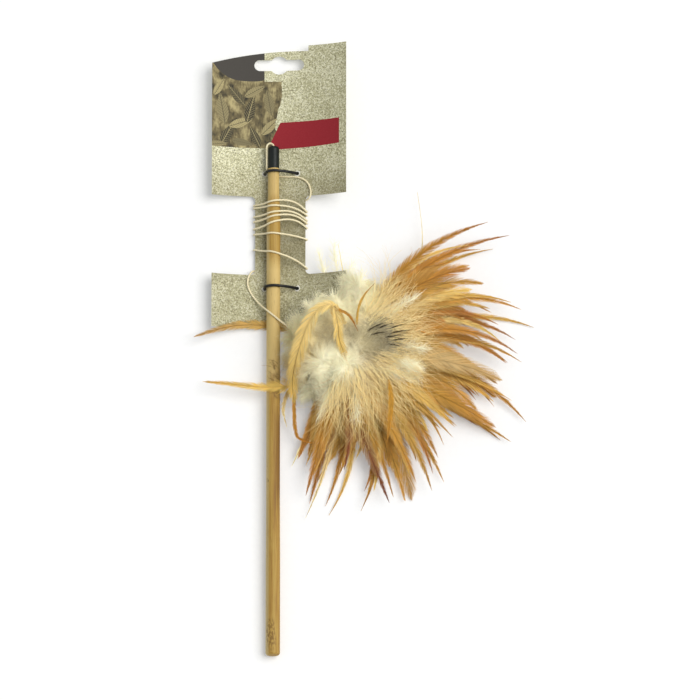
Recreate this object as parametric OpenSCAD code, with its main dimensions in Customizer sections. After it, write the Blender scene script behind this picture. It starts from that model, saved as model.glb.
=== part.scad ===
// Cat teaser wand on its backing card, lying on its back on a surface.
// X runs across the card, Y from the wand's free end to the hang slot, Z up.
// Pieces are drawn in a working frame: the wand lies along Y, and its free end
// touches Z = 0 at Y = 0. The whole is then leaned by rest_tilt and centred.

/* [Wand] */
// Radius of the wand's free lower end
handle_r = 4.6; // [4.5:0.1:5.2]
// Radius of the wand along its middle
shaft_r = 4.4; // [4.1:0.1:4.5]
// Radius of the thinned neck under the cap
neck_r = 3.6; // [3.2:0.1:3.8]
// Radius of the spigot that the cap is pushed on
spigot_r = 2.4; // [2:0.1:2.7]
// Rounding of the wand's free end
end_round = 1.8; // [1:0.1:3]
// Length of the full-width lower end
handle_len = 62; // [40:1:90]
// Length over which the lower end eases to the middle
ease_len = 40; // [20:1:50]
// Length of the taper to the neck
taper_len = 11; // [6:1:16]
// Length of the neck up to the cap
neck_len = 16.7; // [14:0.1:20]
// Length of the wood from the free end to the cap
wood_len = 317.7; // [316.5:0.1:320]
// Length of the spigot inside the cap
spigot_len = 6.5; // [5:0.1:7]

/* [Cap] */
// Length of the rubber cap
cap_len = 14.7; // [14:0.1:16]
// How far the cap stands proud of the neck all round
cap_proud = 0.05; // [0:0.01:0.08]
// Rounding of the cap's closed end
cap_round = 2.0; // [1:0.1:2.6]
// Radius of the knot that holds the cord in the cap
cap_knot_r = 1.5; // [1.2:0.1:1.8]

/* [Card] */
// Thickness of the board
card_t = 0.7; // [0.5:0.1:1]
// Radius to which the board curls up at its sides
card_curl_r = 95; // [90:1:150]
// Where across the card the curl is lowest
card_low_x = -3; // [-5:0.5:0]
// Left edge of the card
card_left = -39.6; // [-45:0.1:-30]
// Right edge of the card
card_right = 46.6; // [40:0.1:50]
// Bottom edge of the lower panel
lower_y = 213.8; // [212:0.1:220]
// Top edge of the lower panel
waist_y = 248.8; // [247:0.1:249]
// Bottom edge of the upper panel
upper_y = 300.4; // [300:0.1:303]
// Height of the upper panel up to the tab's top
upper_h = 99.4; // [95:0.1:110]
// Left edge of the waist
waist_left = -11.8; // [-13:0.1:-10]
// Right edge of the waist
waist_right = 20.5; // [20:0.1:21]
// Fillet where the waist meets the panels
waist_fillet = 3; // [1:0.1:3]
// Radius of the curved top edge
crown_r = 152; // [130:1:200]
// Where across the card the curved top edge is highest
crown_x = 12; // [5:0.5:20]
// How far the curved top edge stays below the tab
tab_step = 3.4; // [1:0.1:6]
// Left side of the tab
tab_x = 22.3; // [21:0.1:30]

/* [Hang slot] */
// Overall width of the hang slot
slot_w = 32; // [28:0.5:36]
// Height of the slot's arms
slot_h = 7.2; // [6:0.1:8]
// Middle of the slot across the card
slot_x = 3.5; // [0:0.5:6]
// Distance from the tab's top to the slot's middle
slot_drop = 12.6; // [11:0.1:15]
// Radius of the round opening in the slot's middle
slot_round_r = 6; // [5:0.1:6.5]

/* [Ties] */
// Thickness of the tie wire
wire_d = 1.2; // [0.8:0.1:1.3]
// Place of the lower tie along the wand
lower_tie_y = 239.6; // [232:0.1:243]
// Distance from the upper tie down to the cap's edge
upper_tie_off = 2.4; // [1.9:0.1:2.5]
// Left hole of each tie
tie_left = -5.6; // [-6.5:0.1:-5.5]
// Right hole of each tie
tie_right = 15.2; // [14:0.1:17]
// Radius of the holes that the ties pass through
tie_hole_r = 1.1; // [1.1:0.1:1.5]
// Length of the tie's ends, folded flat behind the card
tie_leg = 8; // [5:0.5:9]

/* [Cord] */
// Thickness of the cord
cord_d = 1.2; // [1:0.1:1.2]

/* [Lure] */
// Place of the lure's knot across the card
knot_x = 43; // [42.5:0.5:43.5]
// How far below the card's bottom edge the lure's knot lies
knot_drop = 13.8; // [13.3:0.1:14.3]
// Height of the lure's knot above the surface
knot_h = 9; // [8.5:0.5:10]
// Radius of the knot
knot_r = 2.3; // [2:0.1:2.3]
// Radius of the thread wound round the cord behind the knot
wrap_r = 1.7; // [1.4:0.1:1.9]
// Length of the thread wound round the cord
wrap_len = 4.2; // [3:0.1:5]
// Radius of the bound ball that holds the quills
binding_r = 5.2; // [5:0.1:6]
// Distance from the knot to the middle of the bound ball
binding_off = 5.2; // [5:0.1:6]
// Reach of the longest feathers from the bound ball
plume_reach = 130; // [120:1:135]
// Height that the upper feathers rise to
plume_height = 30; // [28:1:34]
// Width of a hackle feather
hackle_w = 7; // [4:0.5:7]
// Width of a broad saddle feather
saddle_w = 13; // [8:0.5:13]
// Width of a down plume
down_w = 10; // [6:0.5:10]
// Width of a long thin strand
strand_w = 1.6; // [1:0.1:3]
// Thickness of a feather along its quill
vane_t = 0.4; // [0.3:0.05:0.5]
// Width of the two feathers that the wand holds
trapped_w = 3.6; // [2:0.1:4]
// Thickness of the two feathers that the wand holds
trapped_t = 0.28; // [0.2:0.01:0.3]
// How far below the knot the upper one of them crosses the wand
over_drop = 27; // [24:0.5:30]
// Height of its middle above the wand
over_gap = 1.1; // [1:0.1:1.5]

/* [Hidden] */
$fn = 64;
// Clearance between pieces that lie on each other
seat = 0.08;
// Clearance of the spigot and the cord's hole
fit = 0.1;
// Clearance of a tie round the wand, and of the cord round the card's edge
edge_gap = 0.15;
// Extra length of a cutting shape
over = 1;
// Running clearance round the knot in its socket
socket_gap = 0.35;
// Distances along the cord from the knot's middle
mouth_far = 3;
wrap_near = 4.8;
// Gap between the cord's end and the thread behind the knot
tail_gap = 0.25;
// Half the width of a quill and of a feather's tip
quill_half = 0.45;
tip_half = 0.12;
// Direction of the bound ball from the knot
lure_heading = -12;

axis_z = handle_r;
cord_r = cord_d / 2;
wire_r = wire_d / 2;
wand_len = wood_len + spigot_len;
cap_r = neck_r + cap_proud;
taper_y = wood_len - neck_len - taper_len;
upper_tie_y = wood_len - upper_tie_off;
knot_y = lower_y - knot_drop;
card_front_z = axis_z - neck_r - cord_d - 2 * seat;
card_back_z = card_front_z - card_t;
card_top = upper_y + upper_h;
crown_y = card_top - tab_step - crown_r;
slot_y = card_top - slot_drop;
rest_drop = wire_d + seat - card_back_z;
rest_tilt = asin(rest_drop / (lower_tie_y - wire_d));

function floor_z(y) = -y * tan(rest_tilt);
function card_sag(x, r) = r - sqrt(pow(r, 2) - pow(x - card_low_x, 2));
function card_face_z(x) = card_front_z + card_sag(x, card_curl_r);
function card_rear_z(x) = card_back_z + card_sag(x, card_curl_r + card_t);
function way(az, el) = [cos(el) * cos(az), cos(el) * sin(az), sin(el)];
function unit(v) = v / norm(v);
function mix(a, b, s) = a + (b - a) * s;

// A smooth line through points, with a number of steps between each two
function spline(p, steps) = [
    for (i = [0 : len(p) - 2], k = [0 : steps - 1]) curve_at(p, i, k / steps),
    p[len(p) - 1]
];
function curve_at(p, i, t) =
    let (a = p[max(i - 1, 0)], b = p[i], c = p[i + 1], d = p[min(i + 2, len(p) - 1)])
    (2 * b + (c - a) * t + (2 * a - 5 * b + 4 * c - d) * pow(t, 2)
        + (3 * b - a - 3 * c + d) * pow(t, 3)) / 2;
function heading(p, i) = unit(p[min(i + 1, len(p) - 1)] - p[max(i - 1, 0)]);
function square_to(n, t) = unit(n - (n * t) * t);
function normals(p, start) = [
    for (i = 0, n = square_to(start, heading(p, 0)); i < len(p);
        i = i + 1, n = i < len(p) ? square_to(n, heading(p, i)) : n) n
];

// Faces of a closed solid of rings, as triangles
function ring_faces(rings, sides) = concat(
    [for (i = [0 : rings - 2], k = [0 : sides - 1])
        [i * sides + k, (i + 1) * sides + (k + 1) % sides, i * sides + (k + 1) % sides]],
    [for (i = [0 : rings - 2], k = [0 : sides - 1])
        [i * sides + k, (i + 1) * sides + k, (i + 1) * sides + (k + 1) % sides]],
    [for (k = [1 : sides - 2]) [0, k, k + 1]],
    [for (k = [1 : sides - 2]) [0, k + 1, k] + (rings - 1) * sides * [1, 1, 1]]
);

// A round tube of radius r along the points p, swept from the direction start
module tube(p, r, sides, start) {
    n = normals(p, start);
    points = [
        for (i = [0 : len(p) - 1], k = [0 : sides - 1])
            let (b = cross(heading(p, i), n[i]), turn = 360 * k / sides)
            p[i] + r * (cos(turn) * n[i] + sin(turn) * b)
    ];
    polyhedron(points = points, faces = ring_faces(len(p), sides), convexity = 10);
}

// Leans the working frame onto its resting points and centres it over the origin
module placed() {
    translate([-middle_x, -middle_y, 0]) rotate([rest_tilt, 0, 0]) children();
}

// Along the wand
module along_wand(y) {
    translate([0, y, axis_z]) rotate([-90, 0, 0]) children();
}

module wand_stick() {
    color("burlywood") placed() along_wand(0) rotate_extrude() union() {
        difference() {
            polygon([
                [0, 0], [handle_r, 0], [handle_r, handle_len],
                [shaft_r, handle_len + ease_len], [shaft_r, taper_y],
                [neck_r, taper_y + taper_len], [neck_r, wood_len],
                [spigot_r, wood_len], [spigot_r, wand_len], [0, wand_len]
            ]);
            translate([handle_r - end_round, 0]) difference() {
                translate([0, -over]) square([end_round + over, end_round + over]);
                translate([0, end_round]) circle(r = end_round);
            }
        }
    }
}

// The rubber cap, with the spigot's bore, the knot's chamber and the cord's hole
module end_cap() {
    chamber_y = wand_len + fit;
    chamber_len = 2 * cap_knot_r + 2 * fit;
    color([0.07, 0.09, 0.09]) placed() along_wand(wood_len + fit) difference() {
        rotate_extrude() union() {
            square([cap_r - cap_round, cap_len - fit]);
            square([cap_r, cap_len - fit - cap_round]);
            translate([cap_r - cap_round, cap_len - fit - cap_round]) circle_quarter(cap_round);
        }
        translate([0, 0, -over]) cylinder(r = spigot_r + fit / 2, h = chamber_y - wood_len - fit + over);
        translate([0, 0, spigot_len - fit]) cylinder(r = cap_knot_r + fit, h = chamber_len);
        cylinder(r = cord_r + fit, h = cap_len + over);
    }
}
module circle_quarter(r) {
    intersection() {
        circle(r = r);
        square([r, r]);
    }
}

// The knot that stops the cord inside the cap
module cap_knot() {
    color("wheat") placed() translate([0, cap_knot_y, axis_z]) sphere(r = cap_knot_r);
}
cap_knot_y = wand_len + fit + cap_knot_r;

// The outline of the die-cut card
module card_outline() {
    difference() {
        union() {
            intersection() {
                translate([card_left, upper_y]) square([card_right - card_left, upper_h]);
                union() {
                    translate([crown_x, crown_y]) circle(r = crown_r, $fn = 360);
                    translate([tab_x, upper_y]) square([card_right - tab_x, upper_h]);
                }
            }
            translate([waist_left, waist_y - over])
                square([waist_right - waist_left, upper_y - waist_y + 2 * over]);
            translate([card_left, lower_y]) square([card_right - card_left, waist_y - lower_y]);
            inner_corner(waist_left, waist_y, 180, 0);
            inner_corner(waist_right, waist_y, 0, 0);
            inner_corner(waist_left, upper_y, 180, 1);
            inner_corner(waist_right, upper_y, 0, 1);
        }
        hang_slot();
        for (x = [tie_left, tie_right], y = [lower_tie_y, upper_tie_y])
            translate([x, y]) circle(r = tie_hole_r);
    }
}

// The material that a rounded inner corner leaves
module inner_corner(x, y, side, flip) {
    translate([x, y]) mirror([side > 0 ? 1 : 0, 0]) mirror([0, flip]) difference() {
        translate([-over, -over]) square([waist_fillet + over, waist_fillet + over]);
        translate([waist_fillet, waist_fillet]) circle(r = waist_fillet);
    }
}

// A standard hang slot: two round-ended arms and a round opening in the middle
module hang_slot() {
    arm = slot_w / 2 - slot_h / 2;
    translate([slot_x, slot_y]) {
        for (x = [-arm, arm]) translate([x, 0]) circle(r = slot_h / 2);
        translate([-arm, -slot_h / 2]) square([2 * arm, slot_h]);
        circle(r = slot_round_r);
    }
}

module backing_card() {
    color([0.7, 0.7, 0.57]) placed() intersection() {
        translate([card_low_x, lower_y - over, card_front_z + card_curl_r]) rotate([-90, 0, 0])
            difference() {
                cylinder(r = card_curl_r + card_t, h = card_top - lower_y + 2 * over, $fn = 360);
                translate([0, 0, -over])
                    cylinder(r = card_curl_r, h = card_top - lower_y + 4 * over, $fn = 360);
            }
        translate([0, 0, card_back_z - over])
            linear_extrude(card_rear_z(card_right) - card_back_z + card_t + 2 * over) card_outline();
    }
}

// How far along and down the tie's slack right leg has its bend
slack_shares = [0.5, 0.42];
// Angles round the wand at which the tie is laid, from its left side to its right
tie_angles = [180, 155, 130, 105, 80, 60];

// A wire tie: over the wand, down through the card and folded flat behind it
function tie_route(y, r) =
    let (
        ring = r + edge_gap + wire_r,
        arch = [for (a = tie_angles) [ring * cos(a), y, axis_z + ring * sin(a)]],
        last = arch[len(arch) - 1],
        low = wire_r + seat
    )
    concat(
        [
            [tie_left + tie_leg, y + wire_d, card_rear_z(tie_left + tie_leg) - low],
            [tie_left + wire_d, y + wire_r / 2, card_rear_z(tie_left + wire_d) - low],
            [tie_left + fit, y, card_rear_z(tie_left) - wire_r / 2],
            [tie_left, y, card_face_z(tie_left) + wire_d]
        ],
        arch,
        [
            [
                mix(last[0], tie_right, slack_shares[0]), y,
                mix(last[2], card_face_z(tie_right), slack_shares[1])
            ],
            [tie_right, y, card_face_z(tie_right) + wire_r],
            [tie_right - fit, y, card_rear_z(tie_right) - wire_r / 2],
            [tie_right - wire_d, y - wire_r / 2, card_rear_z(tie_right - wire_d) - low],
            [tie_right - tie_leg, y - wire_d, card_rear_z(tie_right - tie_leg) - low]
        ]
    );
module tie(y, r) {
    color([0.05, 0.05, 0.05]) placed() tube(spline(tie_route(y, r), 2), wire_r, 8, [0, 1, 0]);
}
module upper_tie() {
    tie(upper_tie_y, neck_r);
}
module lower_tie() {
    tie(lower_tie_y, shaft_r);
}

// The winding round the waist and the wand. A loop's section is a stretched band:
// left edge, straight up to the wand, over it, straight down to the right edge,
// and back behind the card.
// The angles round the wand at which a turn is laid, from its left side to its right
wind_angles = [155, 130, 105, 80, 55];
wind_r = shaft_r + seat + cord_r;
edge_r = card_t / 2 + edge_gap + cord_r;
edge_left = [waist_left, (card_face_z(waist_left) + card_rear_z(waist_left)) / 2];
edge_right = [waist_right, (card_face_z(waist_right) + card_rear_z(waist_right)) / 2];
function edge_point(edge, a) = edge + edge_r * [cos(a), sin(a)];
function over_wand(a) = [wind_r * cos(a), axis_z + wind_r * sin(a)];
function behind(x) = [x, card_rear_z(x) - seat - cord_r];
front_left = [edge_point(edge_left, 225), edge_point(edge_left, 120)];
front_arc = [for (a = wind_angles) over_wand(a)];
front_right = [edge_point(edge_right, 60), edge_point(edge_right, -45)];
front_band = concat(
    front_left,
    [for (s = [1 / 3, 2 / 3]) mix(front_left[1], front_arc[0], s)],
    front_arc,
    [for (s = [1 / 4, 1 / 2, 3 / 4]) mix(front_arc[len(front_arc) - 1], front_right[0], s)],
    front_right
);
back_steps = 9;
back_band = [
    for (k = [0 : back_steps]) behind(mix(waist_right - cord_r, waist_left + cord_r, k / back_steps))
];

// Where each turn meets the left and right edge of the waist, and how far its
// front stretch bows towards the cap, most near its right end
wind_start_y = 297.8;
wind_end_y = 251.6;
turn_left_y = [294.4, 292.6, 286.8, 283.6, 278.8, 275.2, 265.2];
turn_right_y = [289.8, 287.4, 284.0, 282.1, 279, 271.4, 252.5];
turn_bow = [4.9, 3.1, 4.3, 4.4, 4.9, 1, 2.4];
turns = len(turn_left_y);
front_last = front_band[len(front_band) - 1];
function across(p) = (p[0] - front_band[0][0]) / (front_last[0] - front_band[0][0]);
// A bow of unit height that is highest at two thirds of the way
function bow_shape(s) = 27 / 4 * pow(s, 2) * (1 - s);
function lifted(p, y) = [p[0], y, p[1]];
function front_turn(i) = [
    for (p = front_band) let (s = across(p))
        lifted(p, mix(turn_left_y[i], turn_right_y[i], s) + turn_bow[i] * bow_shape(s))
];
function back_turn(from_y, to_y) = [
    for (k = [0 : back_steps]) lifted(back_band[k], mix(from_y, to_y, (k + 1 / 2) / (back_steps + 1)))
];
winding_route = concat(
    back_turn(wind_start_y, turn_left_y[0]),
    [for (i = [0 : turns - 1]) each concat(
        front_turn(i),
        back_turn(turn_right_y[i], i < turns - 1 ? turn_left_y[i + 1] : wind_end_y)
    )]
);
rings_a_turn = len(front_band) + len(back_band);
winding_gaps = [
    for (i = [0 : len(winding_route) - 1], j = [i + rings_a_turn / 2 : len(winding_route) - 1])
        norm(winding_route[i] - winding_route[j]) - cord_d
];
echo(least_gap_of_the_winding = min(winding_gaps));
module cord_winding() {
    color("wheat") placed() tube(winding_route, cord_r, 6, [0, 1, 0]);
}

// The middle of the lure's knot and of its bound ball
knot_at = [knot_x, knot_y, floor_z(knot_y) + knot_h];
lure_way = way(lure_heading, 0);
ball_at = knot_at + binding_off * lure_way;
function wrap_end(gap) = knot_at - (wrap_near + wrap_len + gap) * lure_way;
wrap_middle = knot_at - (wrap_near + wrap_len / 2) * lure_way;

// The cord's free stretches, from the knot in the cap to the winding, and from
// the winding to the thread behind the lure's knot
lead_points = [
    [0, 327.4, 4.6], [0, 329.6, 4.6], [0, 331.6, 4.6], [-0.1, 332.9, 4.6], [-0.9, 334, 4.6],
    [-2.4, 334.4, 4.6], [-3.8, 333.6, 4.6], [-4.4, 331.8, 4.6], [-4.4, 328, 4.6], [-4.4, 323, 4.6],
    [-4.4, 318.6, 4.5], [-4.3, 316.8, 3.3], [-3.5, 315.4, 1.8], [-2, 314.4, 0.7], [0, 313.9, 0.34],
    [3, 313.7, 0.46], [6.2, 313.4, 0.8], [10, 313.2, 1.3], [14, 313, 1.9], [18, 311.8, 2.8],
    [21.4, 309.2, 3.7], [23.3, 305.6, 4.1], [23.8, 302.2, 4.2], [23.4, 299.6, 3.8], [22.4, 298.4, 2.9],
    [21.7, 298, 1.8], [21, 297.9, 1.1]
];
tail_points = [
    [-12.4, 251.5, -1.1], [-13.2, 251.3, -0.5], [-13.6, 250.8, 0.6], [-14.6, 249.6, 1.3],
    [-16, 247, 1.4], [-16.6, 243.6, 1.5], [-16, 240, 1.4], [-14, 235.8, 1.1], [-11, 231.6, 1.6],
    [-8, 228, 3.6], [-5.6, 225.4, 6.4], [-3, 222.8, 8.9], [0, 220.2, 9.8], [3.4, 217.4, 9.5],
    [7, 214.8, 8.8], [11, 212, 8.2], [17, 208.4, 7.6], [24, 205, 7.2], [30, 203, 7.1]
];
winding_end = winding_route[len(winding_route) - 1];
lead_route = concat(
    [[0, cap_knot_y + cap_knot_r, axis_z]],
    spline(lead_points, 2),
    [winding_route[0] - cord_d * heading(winding_route, 0), winding_route[0]]
);
tail_route = concat(
    [winding_end, winding_end + cord_d * heading(winding_route, len(winding_route) - 1)],
    spline(tail_points, 2),
    [wrap_end(2 * tail_gap + cord_d), wrap_end(tail_gap)]
);
module cord_lead() {
    color("wheat") placed() tube(lead_route, cord_r, 8, [0, 0, 1]);
}
module cord_tail() {
    color("wheat") placed() tube(tail_route, cord_r, 8, [0, 0, 1]);
}

// The lure's knot sits in a socket of the bound ball, so that the ball can swing
module along_lure(from) {
    translate(knot_at + from * lure_way) rotate([0, 0, lure_heading]) rotate([0, 90, 0]) children();
}
module lure_knot() {
    color("wheat") placed() union() {
        along_lure(0) sphere(r = knot_r);
        along_lure(-wrap_near - wrap_len / 2) cylinder(r = cord_r, h = wrap_near + wrap_len / 2);
        along_lure(-wrap_near - wrap_len) cylinder(r = wrap_r, h = wrap_len);
    }
}
module lure_binding() {
    color([0.85, 0.8, 0.68]) placed() difference() {
        union() {
            along_lure(binding_off) sphere(r = binding_r);
            along_lure(-mouth_far) cylinder(r = knot_r + 4 * socket_gap, h = binding_off);
        }
        along_lure(0) sphere(r = knot_r + socket_gap);
        along_lure(-mouth_far - over) cylinder(r = knot_r - socket_gap, h = mouth_far + over);
    }
}

// How fast each kind of feather widens from its quill and narrows to its tip
hackle_swell = [0.9, 0.8];
saddle_swell = [1.5, 0.5];
down_swell = [0.8, 0.6];
strand_swell = [0.6, 0.6];
trapped_swell = [0.7, 0.7];

// A feather: a thin blade swept along a curve, pointed or blunt
function bezier(a, b, c, s) = pow(1 - s, 2) * a + 2 * s * (1 - s) * b + pow(s, 2) * c;
function swelling(s, powers) =
    let (peak = powers[0] / (powers[0] + powers[1]))
    pow(s / peak, powers[0]) * pow((1 - s) / (1 - peak), powers[1]);
function half_width(s, w, powers) =
    s >= 1 ? tip_half : quill_half + (w / 2 - quill_half) * swelling(s, powers);
module blade(route, w, t, powers) {
    last = len(route) - 1;
    points = [
        for (i = [0 : last])
            let (
                ahead = heading(route, i),
                side = unit(cross([0, 0, 1], ahead)),
                up = cross(ahead, side),
                half = half_width(i / last, w, powers)
            )
            each [
                route[i] + half * side, route[i] + t / 2 * up,
                route[i] - half * side, route[i] - t / 2 * up
            ]
    ];
    polyhedron(points = points, faces = ring_faces(last + 1, 4), convexity = 10);
}
blade_steps = 11;

// Tiers of feathers round the bound ball, from the surface up: the angle at which
// the quill leaves the ball, and the height of the feather's arch as a share
tier_angle = [-16, 2, 20, 38, 58, 80];
tier_shares = [0.08, 0.3, 0.6, 0.95, 1, 1.5];

// Each feather: tier, heading of its quill, of its arch and of its tip, and the
// reach and height of its tip as shares of plume_reach and plume_height
hackle_shares = [
    [0, 52, 56, 36, 0.88, 0.05],
    [0, 16, 22, 7.5, 0.92, 0.04],
    [0, -40, -32, -31, 0.87, 0.04],
    [0, -94, -86, -96.6, 0.83, 0.04],
    [0, -116, -110, -104, 0.79, 0.04],
    [1, 26, 24, 3.6, 0.82, 0.2],
    [1, 0, -2, -22.3, 0.94, 0.1],
    [1, -24, -32, -30, 0.92, 0.12],
    [1, -54, -50, -54.8, 0.81, 0.14],
    [1, -78, -74, -85.6, 0.81, 0.17],
    [1, -104, -98, -104, 0.87, 0.14],
    [1, -126, -124, -115.4, 0.65, 0.17],
    [2, 60, 56, 35.5, 0.97, 0.47],
    [2, 34, 36, 13, 0.87, 0.34],
    [2, 8, 12, -4.5, 0.85, 0.3],
    [2, -18, -12, -18, 0.84, 0.27],
    [2, -62, -56, -60.2, 0.82, 0.3],
    [2, -88, -96, -75.5, 0.8, 0.27],
    [2, -112, -112, -105.8, 0.77, 0.3],
    [3, 66, 62, 42, 0.92, 0.74],
    [3, 10, 12, -2.4, 0.83, 0.47],
    [3, -40, -38, -38, 0.66, 0.56],
    [3, -66, -68, -63.9, 0.75, 0.4],
    [3, -92, -92, -92, 0.62, 0.5]
];
saddle_shares = [
    [0, -16, -6, -17.8, 0.76, 0.04],
    [0, -66, -62, -67.6, 0.81, 0.04],
    [2, -40, -34, -29, 0.82, 0.33],
    [3, 38, 46, 33, 0.71, 0.66],
    [3, -16, -12, -12.8, 0.77, 0.5]
];
down_shares = [
    [3, 114, 110, 107, 0.26, 0.7],
    [4, 76, 76, 80, 0.38, 0.85],
    [4, 38, 38, 34, 0.42, 0.95],
    [4, 0, 0, -6, 0.4, 0.95],
    [4, -38, -38, -34, 0.36, 0.95],
    [4, -78, -78, -84, 0.42, 0.85],
    [4, -116, -112, -112, 0.4, 0.75],
    [4, 154, 156, 160, 0.2, 0.75],
    [4, -150, -140, -136, 0.26, 0.7]
];
// Two long strands that stand out from the rest
strand_shares = [
    [1, 68, 66, 67.9, 0.87, 0.17],
    [0, 92, 90, 95.5, 0.54, 0.17]
];
// Feathers that arch over the top: heading, reach and height of the arch and of the tip
arc_shares = [
    [140, 104, 0.5, 1.75, -125.5, 0.443, 0.45],
    [80, 60, 0.22, 1.75, -100, 0.1, 1.5]
];
// The two feathers that the wand and the card hold, one under the wand and one over
// it: shares of plume_reach across and along the wand, and of knot_h in height. They
// are counted from the card's face at its bottom edge, and from over the wand.
under_shares = [
    [0.2, -0.065, -0.07], [0.115, -0.023, 0.042], [0.046, 0.002, 0.027], [0, 0.008, 0.026],
    [-0.046, 0.013, 0.036], [-0.108, 0.016, 0.049], [-0.185, 0.009, 0.061], [-0.254, -0.009, 0.062],
    [-0.323, -0.032, 0.007], [-0.392, -0.057, 0.127]
];
over_shares = [
    [0.249, 0.154, -0.14], [0.215, 0.085, 0.03], [0.154, 0.031, 0.1], [0.077, 0.006, 0.06],
    [0, 0, 0], [-0.077, 0.003, -0.03], [-0.154, 0.011, -0.06], [-0.231, 0.02, -0.08],
    [-0.292, 0.026, -0.1], [-0.346, 0.031, -0.12]
];
quill_lift = [0, 0, wrap_r + seat + trapped_t / 2];
under_route = concat([wrap_middle - quill_lift], [
    for (p = under_shares) let (x = plume_reach * p[0])
        [x, lower_y + plume_reach * p[1], card_face_z(max(x, card_left)) + knot_h * p[2]]
]);
over_route = concat([wrap_middle + quill_lift], [
    for (p = over_shares)
        [
            plume_reach * p[0], knot_y - over_drop + plume_reach * p[1],
            axis_z + shaft_r + over_gap + knot_h * p[2]
        ]
]);

function polar(az, reach_share, height) =
    let (p = ball_at + plume_reach * reach_share * way(az, 0))
    [p[0], p[1], floor_z(p[1]) + height];
function quill_at(az, el) = ball_at + (binding_r + seat) * way(az, el);
function feather_route(f) =
    let (
        root = quill_at(f[1], tier_angle[f[0]]),
        arch = polar(f[2], f[4] / 2, plume_height * tier_shares[f[0]]),
        tip = polar(f[3], f[4], plume_height * f[5])
    )
    [for (i = [0 : blade_steps]) bezier(root, arch, tip, i / blade_steps)];
function arc_route(f) =
    let (
        root = quill_at(f[0], tier_angle[5]),
        arch = polar(f[1], f[2], plume_height * f[3]),
        tip = polar(f[4], f[5], plume_height * f[6])
    )
    [for (i = [0 : blade_steps]) bezier(root, arch, tip, i / blade_steps)];

module hackle(i) {
    color([0.78, 0.56, 0.28]) placed() blade(feather_route(hackle_shares[i]), hackle_w, vane_t, hackle_swell);
}
module saddle(i) {
    color([0.72, 0.55, 0.36]) placed() blade(feather_route(saddle_shares[i]), saddle_w, vane_t, saddle_swell);
}
module down(i) {
    color([0.93, 0.89, 0.76]) placed() blade(feather_route(down_shares[i]), down_w, vane_t, down_swell);
}
module strand(i) {
    color([0.9, 0.85, 0.65]) placed() blade(feather_route(strand_shares[i]), strand_w, vane_t, strand_swell);
}
module arched_hackle(i) {
    color([0.82, 0.62, 0.32]) placed() blade(arc_route(arc_shares[i]), hackle_w, vane_t, hackle_swell);
}
module hackle_under_wand() {
    color([0.8, 0.62, 0.36]) placed() blade(under_route, trapped_w, trapped_t, trapped_swell);
}
module hackle_over_wand() {
    color([0.85, 0.68, 0.4]) placed() blade(over_route, trapped_w, trapped_t, trapped_swell);
}

// The middle of the whole, which lies over the origin
function tip_x(f) = polar(f[3], f[4], 0)[0];
reach_x = [for (f = hackle_shares) tip_x(f)];
under_tip = under_route[len(under_route) - 1];
middle_x = (min(card_left, under_tip[0]) + max(reach_x)) / 2;
middle_y = card_top / 2;

function named(word, list) = [for (i = [0 : len(list) - 1]) str(word, "_", i + 1)];
hackle_names = named("hackle_feather", hackle_shares);
saddle_names = named("saddle_feather", saddle_shares);
down_names = named("down_plume", down_shares);
strand_names = named("feather_strand", strand_shares);
arc_names = named("arched_feather", arc_shares);
// Where the lure's joints lie in the leaned and centred frame
function leaned(p) = [
    p[0] - middle_x, p[1] * cos(rest_tilt) - p[2] * sin(rest_tilt) - middle_y,
    p[1] * sin(rest_tilt) + p[2] * cos(rest_tilt)
];
echo(swing_at = leaned(wrap_end(tail_gap)));
echo(lift_at = leaned(knot_at));

wand_stick();
end_cap();
cap_knot();
backing_card();
upper_tie();
lower_tie();
cord_lead();
cord_winding();
cord_tail();
lure_knot();
lure_binding();
hackle_under_wand();  // feather_under_wand
hackle_over_wand();  // feather_over_wand
for (i = [0 : len(hackle_names) - 1])
    hackle(i);
for (i = [0 : len(saddle_names) - 1])
    saddle(i);
for (i = [0 : len(down_names) - 1])
    down(i);
for (i = [0 : len(strand_names) - 1])
    strand(i);
for (i = [0 : len(arc_names) - 1])
    arched_hackle(i);
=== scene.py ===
import math
from collections import namedtuple

import bmesh
import bpy
import numpy as np
from bpy.props import FloatProperty, FloatVectorProperty, IntProperty, PointerProperty
from mathutils import Color, Matrix, Vector


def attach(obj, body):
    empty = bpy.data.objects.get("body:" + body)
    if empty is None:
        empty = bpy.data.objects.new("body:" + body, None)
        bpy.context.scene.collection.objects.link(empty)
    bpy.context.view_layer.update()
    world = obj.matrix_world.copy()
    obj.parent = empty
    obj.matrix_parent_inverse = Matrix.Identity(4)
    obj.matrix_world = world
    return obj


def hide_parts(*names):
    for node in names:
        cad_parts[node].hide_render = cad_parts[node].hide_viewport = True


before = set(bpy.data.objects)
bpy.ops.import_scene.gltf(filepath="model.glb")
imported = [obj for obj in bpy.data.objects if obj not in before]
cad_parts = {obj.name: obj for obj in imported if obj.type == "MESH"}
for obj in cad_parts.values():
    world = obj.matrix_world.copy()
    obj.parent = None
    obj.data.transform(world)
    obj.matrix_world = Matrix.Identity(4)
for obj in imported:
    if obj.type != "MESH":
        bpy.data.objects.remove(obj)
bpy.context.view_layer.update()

bl_info = {
    "name": "Feather Wand Dresser",
    "version": (1, 0, 0),
    "blender": (4, 5, 0),
    "location": "3D View > Sidebar > Feather Wand",
    "description": "Cord, board, wood and feathers for a feather wand on its backing card",
    "category": "Object",
}

MM = 0.001

# The stick's own frame, in mm: the stick lies along +Y from its free end, with the
# card under it. At rest the frame is tilted, so that the card's far end stands higher.
REST_TILT = math.asin(2.34 / 238.4)
PLACE = Matrix.Translation((-57.8516, -199.9, 0)) @ Matrix.Rotation(REST_TILT, 4, "X")
# Moves a pattern in mm to the start of that frame
PATTERN_MOVE = (57.85, 199.9, 0)

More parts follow.
